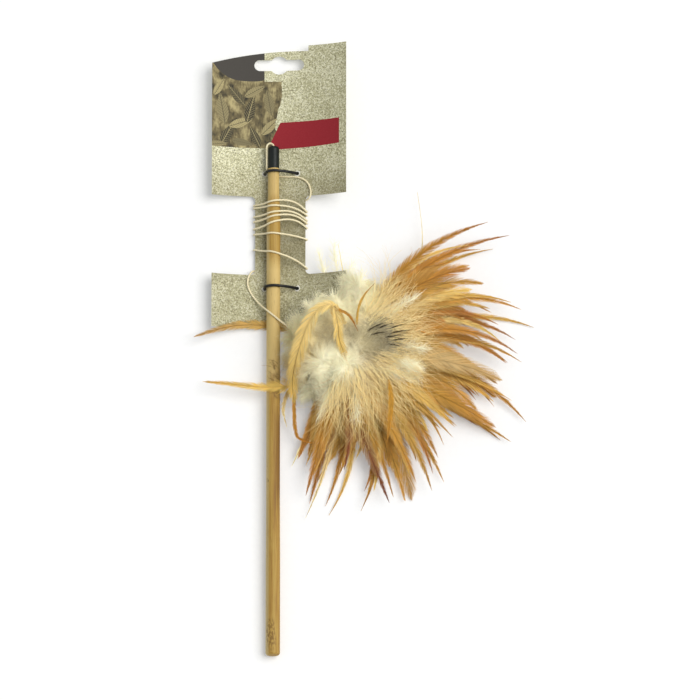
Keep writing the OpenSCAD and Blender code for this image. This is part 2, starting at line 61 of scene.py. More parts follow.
# Height of the stick's axis, where its cap starts, and the radii of shaft, neck,
# cord and tie wire
AXIS_Z = 4.6
CAP_START = 317
SHAFT_R = 4.4
NECK_R = 3.6
CORD_R = 0.6
WIRE_R = 0.9
# The card's sides, lower edge, waist and thickness, and the curl of its face
CARD_LEFT = -39.6
CARD_RIGHT = 46.6
CARD_LOWER = 213.8
WAIST = (-11.8, 20.5)
WAIST_LOWER = 248.8
WAIST_UPPER = 300.4
BOARD = 0.7
FACE_BASE = -0.36
FACE_BEND = 95
CURL_MIDDLE = -3
# The ties' holes across the card, then each tie's place along the stick, the radius
# that it goes over and how far it bows
TIE_LEFT = -5.6
TIE_RIGHT = 15.2
TIES = {"upper_tie": (315.3, NECK_R, 0.4), "lower_tie": (239.6, SHAFT_R, 0.3)}
# The lure's knot, how far behind it the whipping starts and how long that is, the way
# from the knot to the ball of thread, and the ball
KNOT = np.array([43, 200, -200 * math.tan(REST_TILT) + 9])
WHIPPING_START = 4.8
WHIPPING = 4.2
LURE_WAY = np.array([math.cos(math.radians(-12)), math.sin(math.radians(-12)), 0])
BALL_R = 5.2
BALL = KNOT + BALL_R * LURE_WAY
# What loose pieces leave free round the stick and over the card's face, behind the
# card, and over the floor
ROOM = 0.3
REAR_ROOM = 0.2
FLOOR_ROOM = 0.12
# Height over the card that down leaves free for each mm behind the knot, for the lift
LIFT_ROOM = 0.2

WHITE = (1, 1, 1, 1)


def floor_z(y):
    """The floor's height under a place along the stick."""
    return -y * math.tan(REST_TILT)


def card_z(x, base, bend):
    """The height of the card's curled sheet across the stick."""
    over = np.asarray(x) - CURL_MIDDLE
    return base + bend - np.sqrt(np.maximum(bend**2 - over**2, 0))


def face_z(x):
    """The height of the card's face."""
    return card_z(x, FACE_BASE, FACE_BEND)


def rear_z(x):
    """The height of the card's back."""
    return card_z(x, FACE_BASE - BOARD, FACE_BEND + BOARD)


def to_frame(points):
    """Points in the stick's frame, in mm, as points in the row frame, in metres."""
    turn = np.array(PLACE)
    return (points @ turn[:3, :3].T + turn[:3, 3]) * MM


def from_frame(points):
    """Points in the row frame, in metres, as points in the stick's frame, in mm."""
    turn = np.array(PLACE.inverted())
    return points / MM @ turn[:3, :3].T + turn[:3, 3]


def unit(vectors):
    """Vectors of length 1 that point the same ways."""
    return vectors / np.maximum(np.linalg.norm(vectors, axis=-1, keepdims=True), 1e-9)


def mix(a, b, share):
    """What lies that share of the way from a to b."""
    return a + (b - a) * share


def ease(low, high, x):
    """0 below low, 1 above high and a smooth step between."""
    t = np.clip((x - low) / (high - low), 0, 1)
    return t * t * (3 - 2 * t)


def smooth(points, steps):
    """A smooth curve through every point, in that many steps between two."""
    p = np.asarray(points, float)
    p = np.vstack([2 * p[0] - p[1], p, 2 * p[-1] - p[-2]])
    t = (np.arange(steps) / steps)[:, None, None]
    a, b, c, d = p[:-3], p[1:-2], p[2:-1], p[3:]
    cubic = (3 * b - a - 3 * c + d) * t**3
    curve = 0.5 * (2 * b + (c - a) * t + (2 * a - 5 * b + 4 * c - d) * t**2 + cubic)
    return np.vstack([curve.transpose(1, 0, 2).reshape(-1, 3), p[-2]])


def run_length(points):
    """How far each point lies along a path."""
    return np.concatenate([[0], np.cumsum(np.linalg.norm(np.diff(points, axis=0), axis=1))])


def linear(colour):
    """A written colour in linear light, with an alpha of 1."""
    return (*Color(colour[:3]).from_srgb_to_scene_linear(), 1.0)


def link(name, data):
    """An object of the scene, at the origin."""
    made = bpy.data.objects.new(name, data)
    bpy.context.scene.collection.objects.link(made)
    return made


def mesh_of(bm, name):
    """A mesh from a bmesh, which is freed."""
    mesh = bpy.data.meshes.new(name)
    bm.to_mesh(mesh)
    bm.free()
    return mesh


def finish_piece(name, mesh, material, body, replaced=(), facing=None):
    """A piece of the object in its place, riding on its body."""
    piece = link(name, mesh)
    mesh.materials.append(material)
    mesh.polygons.foreach_set("use_smooth", [True] * len(mesh.polygons))
    if facing is not None:
        mesh.normals_split_custom_set_from_vertices(facing.tolist())
    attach(piece, body)
    if replaced:
        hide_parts(*replaced)
    return piece


def colour_points(mesh, tint):
    """One tint for each vertex."""
    layer = mesh.color_attributes.new("tint", "FLOAT_COLOR", "POINT")
    full = np.ones((len(mesh.vertices), 4), np.float32)
    full[:, :3] = np.reshape(tint, (-1, 3))
    layer.data.foreach_set("color", full.ravel())


def map_corners(mesh, name, uv):
    """A UV map from one place for each vertex."""
    layer = mesh.uv_layers.new(name=name)
    corner = np.empty(len(mesh.loops), np.int32)
    mesh.loops.foreach_get("vertex_index", corner)
    layer.uv.foreach_set("vector", np.reshape(uv, (-1, 2))[corner].astype(np.float32).ravel())


def ribbon_mesh(name, middle, edge, tint, uv):
    """Separate ribbons cut from one grid. The arrays run from root to tip, then by ribbon."""
    steps, strips = middle.shape[:2]
    columns = 2 * strips
    bm = bmesh.new()
    bmesh.ops.create_grid(bm, x_segments=columns - 1, y_segments=steps - 1, size=0.5)
    bm.verts.ensure_lookup_table()
    bm.verts.index_update()
    gaps = []
    for e in bm.edges:
        first, second = e.verts[0].index, e.verts[1].index
        if abs(first - second) == 1 and min(first, second) % columns % 2:
            gaps.append(e)
    bmesh.ops.delete(bm, geom=gaps, context="EDGES")
    mesh = mesh_of(bm, name)
    points = np.stack([middle - edge, middle + edge], axis=2)
    mesh.vertices.foreach_set("co", to_frame(points.reshape(-1, 3)).astype(np.float32).ravel())
    colour_points(mesh, np.repeat(tint[:, :, None], 2, axis=2))
    map_corners(mesh, "OFBake", uv)
    mesh.update()
    return mesh


def turning_frames(path):
    """Directions square to a path that turn with it and never twist."""
    ahead = unit(np.gradient(path, axis=0))
    first = np.cross(ahead[0], [0.3, 0.2, 1])
    across = []
    for direction in ahead:
        first = first - np.dot(first, direction) * direction
        first = first / np.linalg.norm(first)
        across.append(first)
    across = np.array(across)
    return across, np.cross(ahead, across)


def tube_mesh(name, path, radius, sides):
    """A round tube along a path in the stick's frame, closed at both ends."""
    path = np.asarray(path, float)
    radius = np.broadcast_to(radius, len(path))
    bm = bmesh.new()
    bm.loops.layers.uv.new("route")
    bmesh.ops.create_grid(bm, x_segments=sides, y_segments=len(path) - 1, size=0.5, calc_uvs=True)
    across, over = turning_frames(path)
    angle = np.linspace(0, 2 * math.pi, sides + 1)
    ring = np.cos(angle)[:, None] * across[:, None] + np.sin(angle)[:, None] * over[:, None]
    points = to_frame((path[:, None] + radius[:, None, None] * ring).reshape(-1, 3))
    for vertex, place in zip(bm.verts, points):
        vertex.co = place
    bmesh.ops.remove_doubles(bm, verts=bm.verts, dist=1e-7)
    bmesh.ops.holes_fill(bm, edges=bm.edges, sides=0)
    bmesh.ops.recalc_face_normals(bm, faces=bm.faces)
    return mesh_of(bm, name)


class Nodes:
    """Shader nodes, added one after another and linked as they come."""

    def __init__(self, tree):
        self.tree = tree
        self.tree.nodes.clear()

    def plug(self, socket, value):
        """Links a socket to another one, or sets its value."""
        if isinstance(value, bpy.types.NodeSocket):
            self.tree.links.new(value, socket)
        elif value is not None:
            socket.default_value = value

    def add(self, kind, values=None, **settings):
        """A node with its settings and its inputs."""
        node = self.tree.nodes.new("ShaderNode" + kind)
        for key, value in settings.items():
            setattr(node, key, value)
        for key, value in (values or {}).items():
            self.plug(node.inputs[key], value)
        return node

    def math(self, operation, a, b=None, c=None):
        """What a Math node makes of up to three values."""
        return self.add("Math", {0: a, 1: b, 2: c}, operation=operation).outputs[0]

    def mixed(self, share, a, b, how="MIX"):
        """Colour a, with that share of colour b."""
        node = self.add("Mix", {0: share, 6: a, 7: b}, data_type="RGBA", blend_type=how)
        return node.outputs[2]

    def ramp(self, value, stops):
        """A colour ramp from (place, colour) pairs."""
        node = self.add("ValToRGB", {0: value})
        ends = node.color_ramp.elements
        while len(ends) < len(stops):
            ends.new(0.5)
        for end, (place, colour) in zip(ends, stops):
            end.position = place
            end.color = linear(colour)
        return node.outputs[0]

    def spread(self, value, low, high, to_low=0.0, to_high=1.0):
        """A value between low and high, carried over to another range."""
        node = self.add("MapRange", {0: value, 1: low, 2: high, 3: to_low, 4: to_high})
        return node.outputs[0]

    def place(self, scale=(1, 1, 1), turn=(0, 0, 0), move=(0, 0, 0)):
        """The object's own coordinates, stretched, turned and moved."""
        coords = self.add("TexCoord").outputs["Object"]
        values = {"Vector": coords, "Scale": scale, "Rotation": turn, "Location": move}
        return self.add("Mapping", values).outputs[0]

    def place_mm(self):
        """Places across and along the stick, in mm."""
        spot = self.add("SeparateXYZ", {0: self.place((1000, 1000, 1000), move=PATTERN_MOVE)})
        return spot.outputs[0], spot.outputs[1]

    def noise(self, vector, scale, detail=3, rough=0.6):
        """Noise from 0 to 1."""
        values = {"Vector": vector, "Scale": scale, "Detail": detail, "Roughness": rough}
        return self.add("TexNoise", values).outputs[0]

    def bump(self, height, strength, distance):
        """Normals that follow a height."""
        values = {"Height": height, "Strength": strength, "Distance": distance}
        return self.add("Bump", values).outputs[0]

    def background_rays(self):
        """1 where the camera looks, straight or through a reflection or a clear surface."""
        path = self.add("LightPath").outputs
        seen = self.math("MAXIMUM", path["Is Camera Ray"], path["Is Glossy Ray"])
        return self.math("MAXIMUM", seen, path["Is Transmission Ray"])


class Finish(Nodes):
    """A material with its nodes."""

    def __init__(self, name):
        self.material = bpy.data.materials.new(name)
        self.material.use_nodes = True
        super().__init__(self.material.node_tree)
        self.out = self.add("OutputMaterial")

    def show(self, shader):
        """Gives the material its shader."""
        self.plug(self.out.inputs[0], shader)

    def surface(self, **values):
        """The material's own shader. An input's name is written with _ for each space."""
        named = {key.replace("_", " "): value for key, value in values.items()}
        self.show(self.add("BsdfPrincipled", named).outputs[0])


def dress_node(name, material):
    """Gives a CAD node its finish."""
    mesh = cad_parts[name].data
    mesh.materials.clear()
    mesh.materials.append(material)


def tone(name, description, value):
    """A colour that a user may change."""
    return FloatVectorProperty(
        name=name, description=description, default=value, subtype="COLOR_GAMMA", size=3, min=0, max=1
    )


class StudioSettings(bpy.types.PropertyGroup):
    """The camera and the lights"""

    elevation: FloatProperty(
        name="Elevation",
        description="How far above the horizon the camera stands",
        default=math.radians(77),
        subtype="ANGLE",
    )
    distance: FloatProperty(
        name="Distance",
        description="From the camera to the wand",
        default=6,
        subtype="DISTANCE",
        unit="LENGTH",
    )
    view_width: FloatProperty(
        name="View Width", description="Width of floor in the picture", default=0.448, unit="LENGTH"
    )
    sun: FloatProperty(
        name="Key Light", description="Strength of the soft key light", default=2.32, min=0
    )
    sky: FloatProperty(
        name="Fill Light", description="Strength of the light from all round", default=0.47, min=0
    )


class StickSettings(bpy.types.PropertyGroup):
    """Colours of the stick and its cap"""

    wood_pale: tone("Pale Wood", "Early wood between the grain lines", (0.7, 0.575, 0.295))
    wood_mid: tone("Wood", "The stick's main colour", (0.64, 0.495, 0.225))
    wood_dark: tone("Grain", "Late wood and pores", (0.48, 0.335, 0.155))
    rubber: tone("Rubber", "The end cap", (0.035, 0.06, 0.05))


class CardSettings(bpy.types.PropertyGroup):
    """Colours of the board and its print"""

    board: tone("Board", "Recycled board", (0.97, 0.96, 0.84))
    board_shade: tone("Board Shade", "The board's darker clouds", (0.81, 0.795, 0.63))
    fleck: tone("Flecks", "Dark fibres pressed into the board", (0.3, 0.26, 0.19))
    cut: tone("Cut Edge", "The board's cut edges", (0.86, 0.85, 0.78))
    band: tone("Band", "The printed band", (0.54, 0.06, 0.115))
    print_dark: tone("Print Dark", "Darkest ink of the printed panel", (0.16, 0.15, 0.11))
    print_mid: tone("Print Middle", "Middle ink of the printed panel", (0.43, 0.385, 0.262))
    print_pale: tone("Print Pale", "Palest ink of the printed panel", (0.71, 0.655, 0.47))


class CordSettings(bpy.types.PropertyGroup):
    """The cord, the ties and the binding thread"""

    cord: tone("Cord", "The elastic cord", (0.97, 0.92, 0.76))
    cord_steps: IntProperty(
        name="Cord Steps", description="Rings between two points of its route", default=4, min=1
    )
    tie: tone("Tie", "The two wire ties", (0.02, 0.02, 0.022))
    thread: tone("Thread", "Binding thread at the lure", (0.88, 0.84, 0.72))


class PlumageSettings(bpy.types.PropertyGroup):
    """Colours of the feathers, and how fine they are"""

    barb_gap: FloatProperty(
        name="Barb Gap", description="Between two barbs of a vane", default=0.00045, unit="LENGTH"
    )
    cream: tone("Cream", "The feathers' soft bases", (1.0, 0.93, 0.7))
    straw: tone("Straw", "Pale golden vanes", (0.9, 0.76, 0.4))
    golden: tone("Golden", "Golden vanes", (0.79, 0.59, 0.22))
    amber: tone("Amber", "Orange brown tips", (0.73, 0.475, 0.16))
    maroon: tone("Maroon", "The darkest feathers", (0.46, 0.2, 0.09))
    fawn: tone("Fawn", "Blunt brown feathers", (0.76, 0.59, 0.34))
    rose: tone("Rose", "Pinkish tan feathers", (0.84, 0.68, 0.42))
    down: tone("Down", "White down", (1.0, 0.975, 0.85))
    ash: tone("Ash", "Dark down at the root", (0.45, 0.395, 0.28))


# Where the camera looks, and half the floor's width in metres
AIM = Vector((-8.8, 0.1, 0)) * MM
FLOOR_HALF = 20
# How much of the floor that the camera sees glows by itself
FLOOR_GLOW = 0.2
# The way that the key light shines, its softness and colour, and the fill's colour
SUN_WAY = Vector((-0.62, -0.12, -1))
SUN_ANGLE = math.radians(45)
SUN_COLOUR = (1.0, 0.98, 0.945)
SKY_COLOUR = (0.92, 0.96, 1.0, 1)


class FEATHERWAND_OT_studio(bpy.types.Operator):
    """Camera, pale floor and soft light"""

    bl_idname = "feather_wand.studio"
    bl_label = "Studio"

    def execute(self, context):
        s = context.scene.wand_studio
        self.camera(context, s)
        self.floor()
        self.lights(context, s)
        context.scene.view_settings.view_transform = "Standard"
        return {"FINISHED"}

    def camera(self, context, s):
        """A far camera that looks steeply down."""
        data = bpy.data.cameras.new("camera")
        data.lens = data.sensor_width * s.distance / s.view_width
        data.clip_start = 0.1
        data.clip_end = 100
        camera = link("camera", data)
        back = Vector((0, -math.cos(s.elevation), math.sin(s.elevation)))
        camera.location = AIM + back * s.distance
        camera.rotation_mode = "QUATERNION"
        camera.rotation_quaternion = (-back).to_track_quat("-Z", "Y")
        context.scene.camera = camera

    def floor(self):
        """Pale paper that reaches far past the picture."""
        bm = bmesh.new()
        bmesh.ops.create_grid(bm, x_segments=1, y_segments=1, size=FLOOR_HALF)
        mesh = mesh_of(bm, "floor")
        floor = link("floor", mesh)
        paper = Finish("floor_paper")
        grain = paper.noise(paper.place(), 300, 2)
        colour = paper.ramp(grain, [(0.3, (0.985, 0.985, 0.985)), (0.7, (0.995, 0.995, 0.995))])
        diffuse = paper.add("BsdfDiffuse", {"Color": colour}).outputs[0]
        glow = paper.add("Emission", {"Color": WHITE, "Strength": 1.0}).outputs[0]
        share = paper.math("MULTIPLY", paper.background_rays(), FLOOR_GLOW)
        paper.show(paper.add("MixShader", {0: share, 1: diffuse, 2: glow}).outputs[0])
        mesh.materials.append(paper.material)

    def lights(self, context, s):
        """A soft key light and a fill from all round, before white."""
        sun = bpy.data.lights.new("key_light", "SUN")
        sun.energy = s.sun
        sun.angle = SUN_ANGLE
        sun.color = SUN_COLOUR
        lamp = link("key_light", sun)
        lamp.rotation_mode = "QUATERNION"
        lamp.rotation_quaternion = SUN_WAY.to_track_quat("-Z", "Y")
        world = bpy.data.worlds.new("sky")
        context.scene.world = world
        world.use_nodes = True
        sky = Nodes(world.node_tree)
        fill = sky.add("Background", {0: SKY_COLOUR, 1: s.sky}).outputs[0]
        white = sky.add("Background", {0: WHITE, 1: 1.0}).outputs[0]
        both = sky.add("MixShader", {0: sky.background_rays(), 1: fill, 2: white})
        sky.add("OutputWorld", {0: both.outputs[0]})


# The cord's route in mm: its lead from the cap, and its tail to the lure
LEAD_POINTS = [
    [0, 327.4, 4.6], [0, 329.6, 4.6], [0, 331.6, 4.6], [-0.1, 332.9, 4.6], [-0.9, 334, 4.6],
    [-2.4, 334.4, 4.6], [-3.8, 333.6, 4.6], [-4.4, 331.8, 4.6], [-4.4, 328, 4.6], [-4.4, 323, 4.6],
    [-4.4, 318.6, 4.5], [-4.3, 316.8, 3.3], [-3.5, 315.4, 1.8], [-2, 314.4, 0.7], [0, 313.9, 0.34],
    [3, 313.7, 0.46], [6.2, 313.4, 0.8], [10, 313.2, 1.3], [14, 313, 1.9], [18, 311.8, 2.8],
    [21.4, 309.2, 3.7], [23.3, 305.6, 4.1], [23.8, 302.2, 4.2], [23.4, 299.6, 3.8], [22.4, 298.4, 2.9],
    [21.7, 298, 1.8], [21, 297.9, 1.1],
]
TAIL_POINTS = [
    [-12.4, 251.5, -1.1], [-13.2, 251.3, -0.5], [-13.6, 250.8, 0.6], [-14.6, 249.6, 1.3],
    [-16, 247, 1.4], [-16.6, 243.6, 1.5], [-16, 240, 1.4], [-14, 235.8, 1.1], [-11, 231.6, 1.6],
    [-8, 228, 3.6], [-5.6, 225.4, 6.4], [-3, 222.8, 8.9], [0, 220.2, 9.8], [3.4, 217.4, 9.5],
    [7, 214.8, 8.8], [11, 212, 8.2], [17, 208.4, 7.6], [24, 205, 7.2], [30, 203, 7.1],
]
# The winding's turns: where each starts at the waist's left and ends at its right, and
# how far it bows between. Then where the winding comes in and leaves behind the card
TURN_LEFT = [294.4, 292.6, 286.8, 283.6, 278.8, 275.2, 265.2]
TURN_RIGHT = [289.8, 287.4, 284.0, 282.1, 279, 271.4, 252.5]
TURN_BOW = [4.9, 3.1, 4.3, 4.4, 4.9, 1, 2.4]
WINDING_START = 297.8
WINDING_END = 251.6
# Angles of its points over the stick, its gaps from what it lies on and from the
# board's edge, and its bends' radii over the stick and round that edge
WIND_ANGLES = [155, 130, 105, 80, 55]
CORD_GAP = 0.08
EDGE_GAP = 0.15
WIND_R = SHAFT_R + CORD_GAP + CORD_R
EDGE_R = BOARD / 2 + EDGE_GAP + CORD_R
# Gap between the cord and the lure's whipping, length of one stitch of the braid, and
# soiled cord
WHIPPING_GAP = 0.25
BRAID = 1.1
CORD_SOIL = (0.86, 0.78, 0.6)


def round_edge(x, angle):
    """A point of the cord's bend round the card's edge."""
    a = math.radians(angle)
    middle = (face_z(x) + rear_z(x)) / 2
    return np.array([x + EDGE_R * math.cos(a), middle + EDGE_R * math.sin(a)])


def winding_points():
    """The cord's turns round the stick and the waist of the card."""
    left = [round_edge(WAIST[0], a) for a in (225, 120)]
    right = [round_edge(WAIST[1], a) for a in (60, -45)]
    over_stick = np.radians(WIND_ANGLES)
    arc = [np.array([WIND_R * math.cos(a), AXIS_Z + WIND_R * math.sin(a)]) for a in over_stick]
    front = left + [mix(left[1], arc[0], s) for s in (1 / 3, 2 / 3)] + arc
    front += [mix(arc[-1], right[0], s) for s in (1 / 4, 1 / 2, 3 / 4)] + right
    count = 10
    back_x = np.linspace(WAIST[1] - CORD_R, WAIST[0] + CORD_R, count)
    start_x, end_x = front[0][0], front[-1][0]

    def behind(from_y, to_y):
        """A stretch behind the card, from its right to its left."""
        shares = (np.arange(count) + 0.5) / count
        low = CORD_R + CORD_GAP
        return [[x, mix(from_y, to_y, s), rear_z(x) - low] for x, s in zip(back_x, shares)]

    route = behind(WINDING_START, TURN_LEFT[0])
    ends = TURN_LEFT[1:] + [WINDING_END]
    for low, high, bow, end in zip(TURN_LEFT, TURN_RIGHT, TURN_BOW, ends):
        for x, z in front:
            s = (x - start_x) / (end_x - start_x)
            # A hump that is 1 at its highest, two thirds along
            hump = 27 / 4 * s * s * (1 - s)
            route.append([x, mix(low, high, s) + bow * hump, z])
        route += behind(high, end)
    return np.array(route)


class FEATHERWAND_OT_cord(bpy.types.Operator):
    """The elastic cord, from the cap round the card's waist to the lure"""

    bl_idname = "feather_wand.cord"
    bl_label = "Cord"

    def execute(self, context):
        s = context.scene.wand_cord
        near = WHIPPING_START + WHIPPING + WHIPPING_GAP
        thread_end = KNOT - near * LURE_WAY
        thread_near = KNOT - (near + WHIPPING_GAP + 2 * CORD_R) * LURE_WAY
        route = np.vstack([LEAD_POINTS, winding_points(), TAIL_POINTS, [thread_near, thread_end]])
        path = smooth(route, s.cord_steps)
        far = run_length(path)
        mesh = tube_mesh("elastic_cord", path, CORD_R, 12)
        material = self.finish(s, far[-1])
        replaced = ("cord_lead", "cord_winding", "cord_tail")
        cord = finish_piece("elastic_cord", mesh, material, "wand_and_card", replaced)
        return {"FINISHED"}

    def finish(self, s, length):
        """Waxed cream cord with a fine braid."""
        f = Finish("elastic_cord")
        route = f.add("UVMap", None, uv_map="route").outputs[0]
        braid = []
        for lean in (1, -1):
            scale = (lean * 4, length / BRAID, 1)
            turned = f.add("Mapping", {"Vector": route, "Scale": scale}).outputs[0]
            values = {"Vector": turned, "Scale": 0.5, "Distortion": 0.4}
            braid.append(f.add("TexWave", values, bands_direction="DIAGONAL").outputs["Fac"])
        weave = f.math("MAXIMUM", *braid)
        soil = f.noise(f.place(), 90, 3)
        colour = f.ramp(weave, [(0.2, np.array(s.cord) * 0.78), (0.7, s.cord)])
        colour = f.mixed(f.spread(soil, 0.45, 0.75, 0, 0.35), colour, linear(CORD_SOIL))
        rough = f.spread(weave, 0, 1, 0.62, 0.42)
        bump = f.bump(weave, 0.35, 0.00012)
        f.surface(Base_Color=colour, Roughness=rough, Sheen_Weight=0.25, Normal=bump)
        return f.material


# Tones of the wood: painted reflected light along its left, painted light beside the lure
# where its shadow falls and paler wood at the neck, and painted shade on its right below the lure
WOOD_LEFT_PAINTED_LIGHT = (0.84, 0.76, 0.55)
WOOD_LIT_AND_PALE = (0.86, 0.755, 0.5)
WOOD_PAINTED_SHADE = (0.42, 0.27, 0.08)
# Marks on the wood in the row frame, in mm: middle, reach, depth and ink. They are a
# scar by the free end, a dark knot and a faint one
WOOD_MARKS = [
    ((-59.6, -185.5, 11), (4.0, 12, 7), 0.6, (0.42, 0.3, 0.13)),
    ((-58.4, -191.5, 11), (4.0, 8, 7), 0.55, (0.48, 0.36, 0.18)),
    ((-61.5, -87.2, 8), (1.1, 1.7, 4), 0.95, (0.2, 0.12, 0.07)),
    ((-57.0, 62, 9), (1.0, 5, 4), 0.4, (0.5, 0.33, 0.17)),
]
# Dust on the rubber, with a painted teal sheen in the same blotches
RUBBER_DUST_AND_SHEEN = (0.07, 0.105, 0.09)


class FEATHERWAND_OT_stick(bpy.types.Operator):
    """Wood, rubber and knot finishes of the stick"""

    bl_idname = "feather_wand.stick"
    bl_label = "Stick"

    def execute(self, context):
        s = context.scene.wand_stick
        dress_node("wand_stick", self.wood(s))
        dress_node("end_cap", self.rubber(s))
        dress_node("cap_knot", self.knot(context.scene.wand_cord))
        return {"FINISHED"}

    def wood(self, s):
        """Straight grained wood with fine pores and marks of use, and painted light and shade."""
        f = Finish("ramin_wood")
        grain = f.noise(f.place((420, 9, 420)), 1, 4, 0.55)
        fine = f.noise(f.place((1900, 34, 1900)), 1, 3, 0.7)
        pores = f.noise(f.place((3600, 130, 3600)), 1, 2, 0.5)
        cloud = f.noise(f.place((30, 14, 30)), 1, 2)
        blend = f.math("MULTIPLY_ADD", fine, 0.45, f.math("MULTIPLY", grain, 0.6))
        blend = f.math("MULTIPLY_ADD", cloud, 0.35, f.math("SUBTRACT", blend, 0.18))
        stops = [(0.34, s.wood_dark), (0.46, s.wood_mid), (0.58, s.wood_pale), (0.8, s.wood_mid)]
        colour = f.ramp(blend, stops)
        across, along = f.place_mm()
        # Painted reflected light: the stick is paler along its left side
        colour = f.mixed(f.spread(across, -2.2, -4.2, 0, 0.8), colour, linear(WOOD_LEFT_PAINTED_LIGHT))
        # Painted light beside the lure, over the shadow that the lure casts on the stick, and paler wood
        # at the neck
        beside = f.math("MULTIPLY", f.spread(along, 166, 182, 0, 0.72), f.spread(along, 262, 250))
        lit_and_pale = f.math("MAXIMUM", beside, f.spread(along, 292, 302, 0, 0.6))
        colour = f.mixed(lit_and_pale, colour, linear(WOOD_LIT_AND_PALE))
        # Painted shade: the stick's right side below the lure is darker
        painted_shade = f.math("MULTIPLY", f.spread(along, 88, 108), f.spread(along, 168, 150))
        painted_shade = f.math("MULTIPLY", painted_shade, f.spread(across, -0.5, 3.6, 0, 0.75))
        colour = f.mixed(painted_shade, colour, linear(WOOD_PAINTED_SHADE))
        colour = f.mixed(f.spread(pores, 0.62, 0.7, 0, 0.5), colour, linear(s.wood_dark))
        # Each mark fades out from its middle, and the scrawl makes its edge ragged
        scrawl = f.noise(f.place((1500, 420, 900), (0, 0, 0.5)), 1, 2, 0.5)
        for middle, reach, depth, ink in WOOD_MARKS:
            scale = [1 / (r * MM) for r in reach]
            coords = f.place(scale, move=[-m / r for m, r in zip(middle, reach)])
            ball = f.add("TexGradient", {"Vector": coords}, gradient_type="SPHERICAL").outputs[1]
            rag = f.math("MULTIPLY", ball, f.spread(scrawl, 0.42, 0.58, 0.0, 1.9))
            colour = f.mixed(f.spread(rag, 0.12, 0.5, 0, depth), colour, linear(ink))
        rough = f.spread(fine, 0.3, 0.7, 0.52, 0.7)
        height = f.math("ADD", f.math("MULTIPLY", fine, 0.6), f.math("MULTIPLY", pores, -0.5))
        bump = f.bump(height, 0.5, 0.0002)
        f.surface(Base_Color=colour, Roughness=rough, Specular_IOR_Level=0.3, Normal=bump)
        return f.material

    def rubber(self, s):
        """Matt rubber with dust and a painted teal sheen in blotches, and faint ribs along it."""
        f = Finish("black_rubber")
        place = f.place()
        dust_and_sheen = f.noise(place, 260, 3)
        grit = f.noise(place, 3800, 2)
        ribs = f.noise(f.place((900, 40, 900)), 1, 2)
        # The blotches are dust and a painted teal sheen
        colour = f.ramp(dust_and_sheen, [(0.35, s.rubber), (0.7, RUBBER_DUST_AND_SHEEN)])
        rough = f.spread(dust_and_sheen, 0.3, 0.7, 0.33, 0.52)
        height = f.math("MULTIPLY_ADD", ribs, 0.6, f.math("MULTIPLY", grit, 0.4))
        bump = f.bump(height, 0.3, 0.0001)
        f.surface(Base_Color=colour, Roughness=rough, Specular_IOR_Level=0.22, Normal=bump)
        return f.material

    def knot(self, s):
        """The cord's own colour, in the turns of a knot."""
        f = Finish("knotted_cord")
        place = f.place(turn=(0.5, 0.4, 0))
        lay = f.add("TexWave", {"Vector": place, "Scale": 900, "Distortion": 2}).outputs["Fac"]
        colour = f.ramp(lay, [(0.2, np.array(s.cord) * 0.75), (0.8, s.cord)])
        f.surface(Base_Color=colour, Roughness=0.6, Normal=f.bump(lay, 0.5, 0.0002))
        return f.material


# Tones of the board and its print: pale flakes, the warm painted shade low down, on the
# waist and towards the right, the print's plain corner, the band's worn ink and torn paper
BOARD_FLAKE = (0.93, 0.92, 0.8)
BOARD_PAINTED_SHADE = (0.36, 0.31, 0.16)
PRINT_CORNER = (0.25, 0.235, 0.215)
BAND_WORN = (0.62, 0.16, 0.2)
TORN_DARK = (0.85, 0.84, 0.78)
TORN_PALE = (0.97, 0.97, 0.94)
# The print's lower edge, the lower edge of its plain corner and that corner's right
# side, and the corners of the band
PRINT_LOWER = 332.4
CORNER_LOWER = 376.5
CORNER_RIGHT = -6.0
BAND_CORNERS = [(-2.1, 335.6), (2.4, 331.6), (42.0, 333.4), (42.0, 350.1), (4.3, 349.3)]
# Leaves of the print: middle across and along, angle, half length and how pale
LEAVES = [
    (-30, 341, 62, 9, 0.05), (-21, 349, 20, 8.5, 1.0), (-33, 358, 100, 10.5, 0.75),
    (-12, 340, 115, 8, 0.1), (-2, 347, 45, 8.5, 0.95), (-15, 358, 75, 9.5, 0.02),
    (-24, 367, 130, 8.5, 0.2), (-3, 363, 100, 9, 0.7), (-35, 372, 60, 7, 1.0),
    (-12, 370, 30, 8, 0.85), (-36, 334, 10, 6.5, 0.8), (-20, 336, -10, 7, 0.6),
]
# Torn paper round a hole: its points, its inner and outer radius and its thickness
RIM_POINTS = 22
RIM_INNER = 1.12
RIM_OUTER = 1.75
RIM_THICK = 0.14


